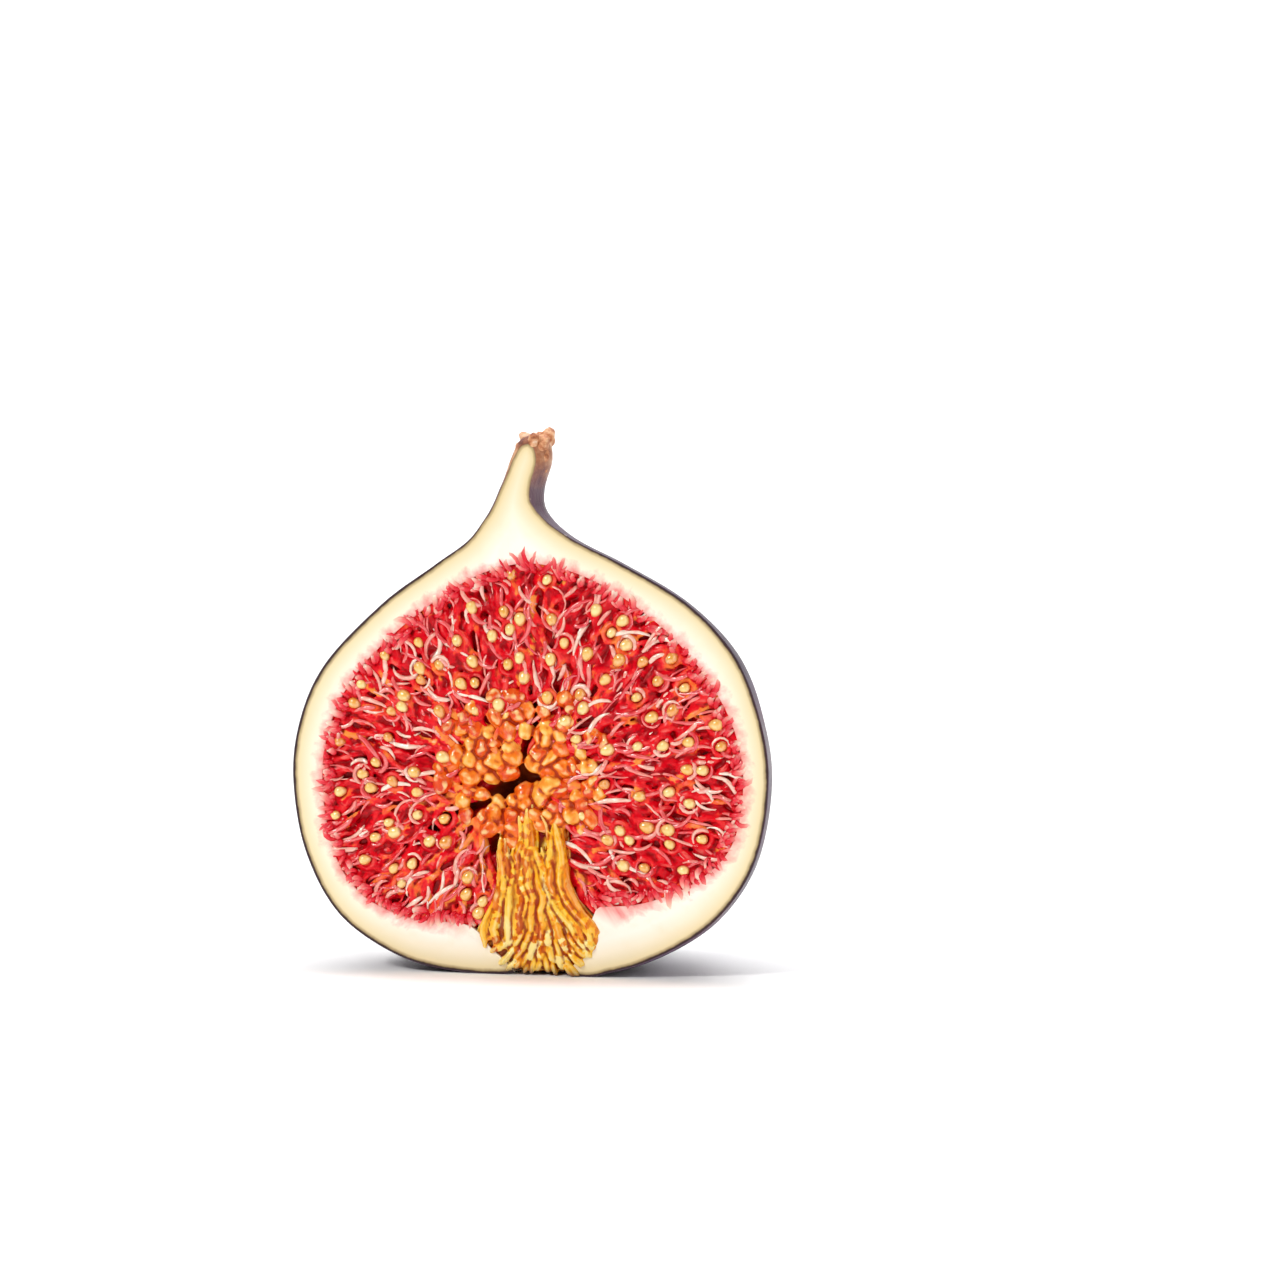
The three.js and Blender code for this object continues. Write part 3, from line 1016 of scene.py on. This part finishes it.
def floretFinish():
    finish = startFinish("fig_florets", 0.27, 1.42, 0.2)
    point = objectPoint()
    tint = ownValue("tint")
    crest = ownValue("crest")
    mottle = noiseValue(point, 650.0, 3.0, 0.6)
    patches = swing(noiseValue(point, 170.0, 2.0), 0.7)
    flecks = swing(mottle, 0.8)
    tone = plus(tint, plus(patches, flecks))
    stops = [
        (0.0, 142, 0, 12), (0.3, 198, 0, 20), (0.56, 224, 5, 26),
        (0.74, 236, 44, 46), (0.88, 240, 96, 44), (1.0, 245, 146, 62),
    ]
    base = rampColour(tone, stops)
    # crests washed pale pink as painted highlight, grooves washed deep red as painted shade
    base = wash(base, (252, 136, 120), crest, 0.9, 1.4, 0.0, 0.55)
    base = wash(base, (142, 0, 5), crest, 0.0, 0.45, 0.85, 0.0)
    feed("Base Color", base)
    softFlesh(0.12, (1.0, 0.2, 0.1), 0.0004)
    wetCrests(crest, 0.1)
    addBump(noiseValue(point, 1500.0, 2.0), 0.0002, 0.35)
    return finish


redFlorets = makeFlorets()
dress(redFlorets, floretFinish())
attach(redFlorets, "root")
print("florets:", len(redFlorets.data.polygons), "faces")
wetFront = blurGrid(frontGrid(toFruit(meshPoints(redFlorets))), 1)

# fringe of the pulp: soft streaks that run out over the cream of the rind and fade
fringe = {
    "count": 400,
    "length": (1.2, 2.4),
    "crown": (1.0, 1.2, 3.2, 40),  # the longest stand under the neck: share, x, width, lowest
    "radius": (0.2, 0.44),
    "inset": (0.5, 1.5),
    "girth": (0.8, 1.0, 1.0, 0.95, 0.85, 0.7),
    "rise": (0.36, 0.2, 0.15, 0.19, 0.3, 0.5),
    "turn": 2.6,
    "swing": 1.1,
    "seed": 17,
}


def makeFringe():
    draw = random.Random(fringe["seed"])
    crownShare, crownX, crownWide, crownLow = fringe["crown"]
    strands = []
    for x, z, outward in borderSpots(fringe["count"], draw):
        heading = outward + fringe["swing"] * (waver(x, z, 4.0, 5.5) * 1.5 + draw.uniform(-0.5, 0.5))
        inset = draw.uniform(*fringe["inset"])
        crown = math.exp(-((x - crownX) / crownWide) ** 2) if z > crownLow else 0.0
        tuft = 1 + 0.6 * waver(x, z, 2.2, 1.5)
        length = draw.uniform(*fringe["length"]) * (tuft + crownShare * crown)
        radius = draw.uniform(*fringe["radius"])
        turn = draw.uniform(-fringe["turn"], fringe["turn"])
        path = strandPath(*goBack(x, z, outward, inset), heading, length, turn, fringe["rise"])
        strands.append((path, [radius * g for g in fringe["girth"]], draw.random()))
    return strandMesh("fig_fringe", strands)


def fringeFinish():
    finish = startFinish("fig_fringe", 0.22, 1.42)
    tint = ownValue("tint")
    along = ownValue("along")
    tone = plus(along, swing(tint, 0.5))
    stops = [
        (0.0, 214, 6, 30), (0.3, 232, 48, 64), (0.55, 242, 118, 114),
        (0.8, 250, 196, 178), (1.0, 252, 238, 216),
    ]
    feed("Base Color", rampColour(tone, stops))
    softFlesh(0.2, (1.0, 0.4, 0.3), 0.0003)
    return finish


pulpFringe = makeFringe()
dress(pulpFringe, fringeFinish())
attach(pulpFringe, "root")
print("fringe:", len(pulpFringe.data.polygons), "faces")

# pale threads, thick at one end, that lie half sunk on the wet mass and curl round the seeds
threads = {
    "pitch": 1.62,
    "shift": 0.75,
    "length": (2.2, 5.6),
    "radius": (0.14, 0.34),
    "girth": (0.4, 0.85, 1.0, 1.0, 0.95, 0.85, 0.7, 0.5, 0.2),
    "turn": 2.6,
    "swing": 0.5,
    "skip": 0.22,
    "proud": 0.5,  # share of the radius that stands out
    "hug": 0.75,  # share of the seeds with a thread round them
    "hugRing": (0.95, 1.25),
    "hugSweep": (2.0, 4.4),
    "margins": (0.3, 0.5),
    "clear": 7.5,
    "seedClear": 1.0,
    "seed": 23,
}


def layOnPulp(path, radius):
    laid = []
    for x, _, z in path:
        column, row = cellsOf(x, z)
        front = min(max(float(wetFront[column, row]), knifeY - 0.15), knifeY + 1.1)
        laid.append([x, front - threads["proud"] * radius, z])
    laid[0][1] += 0.2
    laid[-1][1] += 0.2
    return laid


def makeThreads():
    draw = random.Random(threads["seed"])
    strands = []
    steps = len(threads["girth"])
    for x, z in staggeredSpots(threads["pitch"], threads["shift"], draw):
        if not roomFor(threads, x, z) or draw.random() < threads["skip"]:
            continue
        if nearSeed(x, z, threads["seedClear"]):
            continue
        heading = flowHeading(x, z) + draw.uniform(-threads["swing"], threads["swing"])
        if draw.random() < 0.5:
            heading += math.pi
        length = draw.uniform(*threads["length"])
        radius = draw.uniform(*threads["radius"])
        turn = draw.choice((-1, 1)) * draw.uniform(0.2, threads["turn"])
        start = goBack(x, z, heading, 0.5 * length)
        path = layOnPulp(strandPath(*start, heading, length, turn, [0] * steps), radius)
        strands.append((path, [radius * g for g in threads["girth"]], draw.random()))
    for x, z, _ in seedPlaces:
        if draw.random() > threads["hug"]:
            continue
        ring = draw.uniform(*threads["hugRing"])
        start = draw.uniform(0, twoPi)
        sweep = draw.choice((-1, 1)) * draw.uniform(*threads["hugSweep"])
        angles = [start + sweep * i / (steps - 1) for i in range(steps)]
        radius = draw.uniform(*threads["radius"])
        path = layOnPulp([(x + ring * math.cos(a), 0, z + ring * math.sin(a)) for a in angles], radius)
        strands.append((path, [radius * g for g in threads["girth"]], draw.random()))
    return strandMesh("fig_threads", strands)


def threadFinish():
    finish = startFinish("fig_threads", 0.27, 1.45)
    tint = ownValue("tint")
    mottle = noiseValue(objectPoint(), 800.0, 2.0)
    tone = plus(tint, swing(mottle, 0.7))
    stops = [
        (0.0, 228, 44, 56), (0.4, 240, 106, 102), (0.7, 249, 168, 150),
        (0.92, 254, 214, 194), (1.0, 255, 232, 214),
    ]
    feed("Base Color", rampColour(tone, stops))
    softFlesh(0.2, (1.0, 0.4, 0.3), 0.0003)
    wetCoat(0.9, 0.18)
    return finish


paleThreads = makeThreads()
dress(paleThreads, threadFinish())
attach(paleThreads, "root")
print("threads:", len(paleThreads.data.polygons), "faces")


# repeated bodies: modelled once, copied with their own meshes, and joined
def copyAt(pattern, place, turn, size, tint):
    mesh = pattern.data.copy()
    mesh.transform(Matrix.Translation(Vector(toScene(place))) @ turn.to_4x4() @ Matrix.Diagonal((*size, 1.0)))
    copy = bring(pattern.name + "_copy", mesh)
    setValues(copy, "tint", np.full(len(mesh.vertices), tint))
    return copy


def pointing(way):
    return Vector(way).to_track_quat("Z", "Y").to_matrix()


def taperedBall(name, segments, taper):
    clearSelection()
    bpy.ops.mesh.primitive_uv_sphere_add(segments=segments, ring_count=8, radius=mm, location=(0, 0, 0))
    ball = bpy.context.object
    ball.name = name
    points = meshPoints(ball) / mm
    setValues(ball, "pole", points[:, 2])
    points[:, :2] *= 1 - taper * points[:, 2:3]
    setPoints(ball, points * mm)
    bpy.ops.object.shade_smooth()
    return ball


def makeSeeds():
    draw = random.Random(seeds["seed"] + 1)
    pattern = taperedBall("seed", 10, seeds["taper"])
    copies = []
    for x, z, depth in seedPlaces:
        flow = flowHeading(x, z)
        turn = pointing((math.cos(flow), draw.uniform(-0.9, 0.4), math.sin(flow)))
        grow = draw.uniform(*seeds["grow"])
        girth = seeds["girth"] * grow
        size = (girth, girth, seeds["length"] * grow)
        copy = copyAt(pattern, (x, knifeY + depth, z), turn, size, draw.random())
        # how far each point stands in front of the seed's middle, which sets the painted shade at its rim
        setValues(copy, "shadeFront", (knifeY + depth - toFruit(meshPoints(copy))[:, 1]) / girth)
        copies.append(copy)
    discard(pattern)
    return joinAll(copies, "fig_seeds")


def seedFinish():
    finish = startFinish("fig_seeds", 0.26, 1.5)
    tint = ownValue("tint")
    pole = ownValue("pole")
    shadeFront = ownValue("shadeFront")
    base = rampColour(tint, [(0.0, 236, 150, 50), (0.35, 247, 190, 84), (1.0, 254, 222, 138)])
    # the rim and the sunk back of each seed are washed deeper orange: painted shade
    base = wash(base, (204, 82, 22), shadeFront, 0.2, 0.72, 0.85, 0.0)
    base = wash(base, (170, 80, 20), pole, 0.75, 0.97, 0.0, 0.8)
    speckle = noiseValue(objectPoint(), 1600.0, 2.0)
    base = wash(base, (255, 236, 176), speckle, 0.5, 0.75, 0.0, 0.4)
    feed("Base Color", base)
    softFlesh(0.1, (1.0, 0.5, 0.2), 0.0004)
    wetCoat(0.9, 0.2)
    return finish


goldSeeds = makeSeeds()
dress(goldSeeds, seedFinish())
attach(goldSeeds, "root")
print("seeds:", len(seedPlaces), "seeds")

# plump amber florets crowd round the hollow like cobbles
amber = {
    "pitch": 1.68,
    "shift": 0.5,
    "middle": (-0.8, 25.0),
    "reach": (10.6, 9.6),
    "radius": (0.95, 1.5),
    "ragged": (0.72, 1.08),  # where the crowd ends, as a share of its reach
    "clear": 1.5,  # nothing nearer to the middle of the hollow
    "cleftClear": 0.1,
    "eyeTop": 14.0,  # none on the eye below this
    "squash": (0.8, 1.2),
    "tint": (-0.15, 0.75),
    "plump": [
        (-3.9, 25.6, 1.6), (1.6, 21.4, 1.55), (-7.2, 23.6, 1.25),
        (4.2, 27.2, 1.2), (2.6, 29.4, 1.15), (-2.4, 29.2, 1.2),
    ],
    "voxel": 0.15,
    "most": 120000,
    "seed": 31,
}


def amberPattern(number):
    clearSelection()
    bpy.ops.mesh.primitive_ico_sphere_add(subdivisions=3, radius=mm, location=(0, 0, 0))
    pattern = bpy.context.object
    pattern.name = "amber" + str(number)
    points = meshPoints(pattern) / mm
    grow = []
    for p in points:
        dent = noise.noise(Vector(p) * 1.4 + Vector((number * 7.3, 0, 0)))
        grow.append(1 + 0.24 * dent + 0.06 * noise.noise(Vector(p) * 3.4 + Vector((0, number * 3.1, 0))))
    points = points * np.array(grow)[:, None]
    points[:, 2] *= 1 + 0.25 * points[:, 0]
    setPoints(pattern, points * mm)
    bpy.ops.object.shade_smooth()
    return pattern


def makeAmber():
    draw = random.Random(amber["seed"])
    patterns = [amberPattern(i) for i in range(6)]
    bodies = [(x, z, radius, 0.25) for x, z, radius in amber["plump"]]
    (middleX, middleZ), (reachX, reachZ) = amber["middle"], amber["reach"]
    for x, z in staggeredSpots(amber["pitch"], amber["shift"], draw):
        away = math.hypot((x - middleX) / reachX, (z - middleZ) / reachZ)
        if away > draw.uniform(*amber["ragged"]) or fromHollow(x, z) < amber["clear"]:
            continue
        if fromCleft(x, z) < amber["cleftClear"] or z < amber["eyeTop"] and insideLoop(eyeLoop, x, z):
            continue
        if any(math.hypot(x - a, z - b) < 0.75 * r + 0.3 for a, b, r in amber["plump"]):
            continue
        bodies.append((x, z, draw.uniform(*amber["radius"]) * (1.1 - 0.3 * away), away))
    copies, places = [], []
    for x, z, radius, away in bodies:
        depth = radius - 0.45 + 0.9 * max(0.0, 1 - fromHollow(x, z) / 4) + draw.uniform(0, 0.5)
        turn = pointing([draw.uniform(-1, 1) for _ in range(3)])
        size = [radius * draw.uniform(*amber["squash"]) for _ in range(3)]
        tint = min(1.0, draw.uniform(*amber["tint"]) + 0.35 * away)
        place = (x, knifeY + depth, z)
        copies.append(copyAt(draw.choice(patterns), place, turn, size, tint))
        places.append(([place], [radius], tint))
    for pattern in patterns:
        discard(pattern)
    return meltTogether(copies, "fig_amber_florets", places, amber, 40)


def amberFinish():
    finish = startFinish("fig_amber_florets", 0.26, 1.45, 0.28)
    point = objectPoint()
    tint = ownValue("tint")
    crest = ownValue("crest")
    mottle = noiseValue(point, 900.0, 4.0, 0.6)
    tone = plus(tint, swing(mottle, 0.9))
    stops = [(0.0, 254, 200, 90), (0.35, 250, 160, 46), (0.7, 240, 108, 24), (1.0, 214, 42, 20)]
    base = rampColour(tone, stops)
    # flanks washed deeper orange and grooves dark brown as painted shade, crests pale gold as painted
    # highlight
    base = wash(base, (232, 92, 16), crest, 0.35, 0.85, 0.6, 0.0)
    base = wash(base, (255, 220, 140), crest, 0.75, 1.2, 0.0, 0.75)
    base = wash(base, (162, 38, 0), crest, 0.0, 0.42, 0.9, 0.0)
    feed("Base Color", base)
    softFlesh(0.2, (1.0, 0.45, 0.15), 0.0005)
    wetCrests(crest, 0.7)
    addBump(mottle, 0.0003, 0.35)
    return finish


amberFlorets = makeAmber()
dress(amberFlorets, amberFinish())
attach(amberFlorets, "root")
print("amber florets:", len(amberFlorets.data.polygons), "faces")

# the eye: a core, wavy ribbons that flare towards the base, and a fan of blunt scales at their ends
eye = {
    "recess": 0.5,
    "swell": 1.14,  # the core's girth over the eye's
    "setBack": (1.2, 14.0, 18.0),  # the core's front at its top: reach, from, to
    "ribbons": 44,
    "top": (13.5, 21.0),
    "bottom": (2.6, 5.5),
    "radius": (0.2, 0.56),
    "wave": (1.2, 0.2),  # with its neighbours, by itself
    "girth": (0.35, 0.75, 1.0, 0.9, 1.05, 0.95, 1.1, 1.0, 1.1, 1.05, 0.95, 0.5),
    "fan": [(13, 5.0, 0.95), (13, 4.0, 0.95), (12, 2.9, 0.9), (10, 1.8, 0.8)],  # count, height, spread
    "taper": -0.25,  # broader towards the tip
    "under": (16, 0.8, 1.4, 2.6),  # scales seen from below: count, height, inner and outer ring
    "voxel": 0.15,
    "most": 90000,
    "seed": 41,
}


def eyeCore():
    core = spunShell("eye_core", eyeSide * (eye["swell"], 1), 40)
    reach, low, high = eye["setBack"]
    points = meshPoints(core)
    points[:, 0] += eyeMiddle(points[:, 2] / mm) * mm
    setPoints(core, points)
    cutAway(core, cutY + eye["recess"] * mm, True)
    points = meshPoints(core)
    front = points[:, 1] < cutY + (eye["recess"] + 0.1) * mm
    points[front, 1] += reach * mm * smoothStep(points[front, 2] / mm, low, high)
    setPoints(core, points)
    return core


def eyeRibbons(draw):
    steps = len(eye["girth"])
    shared, alone = eye["wave"]
    strands = []
    for i in range(eye["ribbons"]):
        lane = -1.05 + 2.1 * (i + draw.random()) / eye["ribbons"]
        top = draw.uniform(*eye["top"]) - 2.5 * abs(lane)
        bottom = draw.uniform(*eye["bottom"])
        phase = draw.uniform(0, twoPi)
        depth = draw.uniform(0.05, 0.6) if abs(lane) < 0.8 else draw.uniform(-0.1, 0.15)
        path = []
        for share in [k / (steps - 1) for k in range(steps)]:
            z = top + (bottom - top) * share
            flare = lane * (eyeHalf(max(z, 4.4)) - 0.1)
            drift = shared * (1 - lane * lane) * noise.noise(Vector((lane * 2.2, z / 2.6, 4.0)))
            x = eyeMiddle(z) + flare + drift + alone * math.sin(phase + 9 * share)
            path.append((x, knifeY + depth + 0.2 * math.sin(phase * 2 + 7 * share), z))
        radius = draw.uniform(*eye["radius"])
        strands.append((path, [radius * g for g in eye["girth"]], draw.random()))
    return strands


# each scale has a place, a way that it leans, a size and a tint
def scalePlaces(draw):
    places = []
    for count, height, spread in eye["fan"]:
        half = max(eyeHalf(height) - 0.9, 1.0)
        for i in range(count):
            lane = -1 + 2 * (i + 0.5 + draw.uniform(-0.3, 0.3)) / count
            x = eyeMiddle(height) + lane * half
            z = height - 0.2 - 0.5 * abs(lane) + draw.uniform(-0.4, 0.4)
            lean = Vector((lane * spread, draw.uniform(-0.25, 0.05), -1 + 0.35 * abs(lane)))
            size = (draw.uniform(0.45, 0.75), draw.uniform(0.3, 0.45), draw.uniform(1.0, 1.5))
            depth = draw.uniform(0.1, 0.45) if abs(lane) < 0.75 else draw.uniform(0.0, 0.2)
            places.append(((x, knifeY + depth, max(z, 1.1)), lean, size, draw.uniform(0.55, 1.2)))
    count, height, *rings = eye["under"]
    for i in range(count):
        around = math.pi * (i + 0.5) / count
        across, back = math.cos(around), math.sin(around)
        place = (eyePlace["base"] + rings[i % 2] * across, 0.2 + rings[i % 2] * back, height)
        places.append((place, Vector((-across, -back, -0.25)), (0.7, 0.35, 1.3), 0.1))
    return places


def makeEye():
    draw = random.Random(eye["seed"])
    core = eyeCore()
    strands = eyeRibbons(draw)
    pieces = [strandMesh("eye_ribbons", strands), core]
    pattern = taperedBall("scale", 12, eye["taper"])
    for place, lean, size, tint in scalePlaces(draw):
        pieces.append(copyAt(pattern, place, pointing(lean), size, tint))
        ends = [tuple(Vector(place) + lean.normalized() * size[2] * k) for k in (-0.5, 0, 0.5)]
        strands.append((ends, size, tint))
    discard(pattern)
    whole = meltTogether(pieces, "fig_eye_scales", strands, eye, 20)
    points = meshPoints(whole)
    points[:, 2] = np.maximum(points[:, 2], 0)
    setPoints(whole, points)
    return whole


def eyeFinish():
    finish = startFinish("fig_eye_scales", 0.27, 1.45, 0.28)
    point = objectPoint()
    tint = ownValue("tint")
    crest = ownValue("crest")
    x, y, z = splitVector(point)
    mottle = noiseValue(joinVector(x, y, times(z, 0.3)), 900.0, 3.0, 0.6)
    tone = plus(tint, swing(mottle, 1.2))
    stops = [
        (0.0, 206, 92, 4), (0.3, 236, 138, 14), (0.6, 250, 182, 34),
        (0.85, 253, 210, 84), (1.0, 255, 232, 152),
    ]
    base = rampColour(tone, stops)
    # crests washed pale gold as painted highlight, grooves dark brown as painted shade
    base = wash(base, (255, 226, 132), crest, 0.7, 1.15, 0.0, 0.7)
    base = wash(base, (150, 34, 0), crest, 0.0, 0.5, 0.9, 0.0)
    low = plus(z, times(mottle, 0.0012))
    base = wash(base, (104, 46, 32), low, 0.0008, 0.0018, 0.85, 0.0)
    feed("Base Color", base)
    softFlesh(0.15, (1.0, 0.5, 0.2), 0.0005)
    wetCrests(crest, 0.5)
    addBump(mottle, 0.0003, 0.4)
    return finish


eyeScales = makeEye()
dress(eyeScales, eyeFinish())
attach(eyeScales, "root")
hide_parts("eye_scales")
print("eye scales:", len(eyeScales.data.polygons), "faces")

# the torn end of the stalk
stalkEnd = {
    "stubs": [  # turn, height, radius
        (0.1, 60.3, 1.15), (-0.3, 61.6, 1.05), (0.6, 61.4, 1.1), (-0.5, 63.2, 1.1), (0.5, 63.9, 1.15),
        (1.5, 63.4, 1.2), (2.6, 63.6, 1.05), (3.3, 62.6, 0.8), (-1.2, 63.6, 0.9),
    ],
    "ring": 1.35,
    "shape": (0.85, 0.85, 1.25),
    "seed": 53,
}


def makeStalkEnd():
    draw = random.Random(stalkEnd["seed"])
    copies = []
    for number, (turn, up, radius) in enumerate(stalkEnd["stubs"]):
        pattern = amberPattern(number + 9)
        across, back = math.cos(turn), math.sin(turn)
        place = settle(np.array([[stalkEnd["ring"] * across, stalkEnd["ring"] * back, up]]), False)[0][0]
        size = [radius * share for share in stalkEnd["shape"]]
        copies.append(copyAt(pattern, place, pointing((across * 0.5, back * 0.5, 1)), size, draw.random()))
        discard(pattern)
    return joinAll(copies, "fig_stalk_end")


def stalkEndFinish():
    finish = startFinish("fig_stalk_end", 0.5, 1.42)
    point = objectPoint()
    mottle = noiseValue(point, 900.0, 4.0, 0.6)
    stops = [(0.3, 122, 62, 42), (0.44, 190, 118, 76), (0.56, 222, 168, 124), (0.7, 244, 216, 192)]
    feed("Base Color", rampColour(mottle, stops))
    addBump(mottle, 0.0004, 0.6)
    return finish


tornEnd = makeStalkEnd()
dress(tornEnd, stalkEndFinish())
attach(tornEnd, "root")
print("stalk end:", len(tornEnd.data.polygons), "faces")

# studio: pale sweep, soft lights, camera at the photo's angle
studio = {
    "azimuth": 12.0,
    "elevation": 2.5,
    "lens": 85.0,
    "distance": 0.3597,  # from the middle of the cut
    "aside": 0.01359,  # the fig stands left of the picture's middle
    "above": 0.00806,
    "sweepSize": 3.0,
    "sweepBack": 0.9,
    "sweepHeight": 1.8,
    "sweepRound": 0.45,
    "paper": (0.93, 0.93, 0.935, 1),
    "boxes": [  # name, place, what it points at, size, power, tone
        ("keyBox", (-0.42, -0.6, 0.62), (0, 0, 0.03), (0.2, 0.2), 4.8, (1, 0.98, 0.95)),
        ("fillBox", (0.7, -0.5, 0.35), (0, 0, 0.03), (0.6, 0.7), 2.0, (1, 1, 1)),
        ("topBox", (0.1, 0.1, 0.9), (0, 0, 0.03), (0.6, 0.5), 1.7, (1, 1, 1)),
        ("wallBox", (0, 0.15, 1.1), (0, 0.95, 0.35), (1.4, 0.3), 16.0, (1, 1, 1)),
    ],
    "sky": 0.12,
}


def selectEdges(obj, wanted):
    bpy.ops.object.mode_set(mode="EDIT")
    bpy.ops.mesh.select_mode(type="EDGE")
    bpy.ops.mesh.select_all(action="DESELECT")
    endEdit()
    for edge in obj.data.edges:
        edge.select = all(wanted(obj.data.vertices[v].co) for v in edge.vertices)
    bpy.ops.object.mode_set(mode="EDIT")


def makeSweep():
    clearSelection()
    size, back = studio["sweepSize"], studio["sweepBack"]
    bpy.ops.mesh.primitive_plane_add(size=size, location=(0, back - size / 2, 0))
    sweep = bpy.context.object
    sweep.name = "sweep"
    bpy.ops.object.transform_apply(location=True, rotation=True, scale=True)
    selectEdges(sweep, lambda spot: spot.y > back - 0.01)
    bpy.ops.mesh.extrude_region_move(TRANSFORM_OT_translate={"value": (0, 0, studio["sweepHeight"])})
    selectEdges(sweep, lambda spot: spot.y > back - 0.01 and spot.z < 0.01)
    bpy.ops.mesh.bevel(offset=studio["sweepRound"], segments=16, affect="EDGES")
    endEdit()
    bpy.ops.object.shade_smooth()
    paper = startFinish("pale_paper", 0.7, 1.5)
    feed("Base Color", studio["paper"])
    sweep.data.materials.append(paper)


def addSoftbox(name, place, aim, size, power, tone):
    data = bpy.data.lights.new(name, "AREA")
    data.shape = "RECTANGLE"
    data.size, data.size_y = size
    data.energy = power
    data.color = tone
    lamp = bring(name, data)
    lamp.location = place
    lamp.rotation_euler = (Vector(aim) - Vector(place)).to_track_quat("-Z", "Y").to_euler()


def makeStudio():
    makeSweep()
    for box in studio["boxes"]:
        addSoftbox(*box)
    world = bpy.data.worlds.new("studio")
    world.use_nodes = True
    sky = world.node_tree.nodes["Background"]
    sky.inputs["Color"].default_value = (1, 1, 1, 1)
    sky.inputs["Strength"].default_value = studio["sky"]
    bpy.context.scene.world = world
    bpy.context.scene.view_settings.view_transform = "Standard"
    turn, climb = math.radians(studio["azimuth"]), math.radians(studio["elevation"])
    back = Vector((math.sin(turn) * math.cos(climb), -math.cos(turn) * math.cos(climb), math.sin(climb)))
    right = Vector((math.cos(turn), math.sin(turn), 0))
    up = back.cross(right)
    aim = Vector(toScene((0, knifeY, 32))) + right * studio["aside"] + up * studio["above"]
    data = bpy.data.cameras.new("camera")
    data.lens = studio["lens"]
    data.sensor_width = 36
    data.clip_start = 0.01
    camera = bring("camera", data)
    camera.location = aim + back * studio["distance"]
    camera.rotation_euler = (-back).to_track_quat("-Z", "Y").to_euler()
    bpy.context.scene.camera = camera


makeStudio()
print("studio ready")
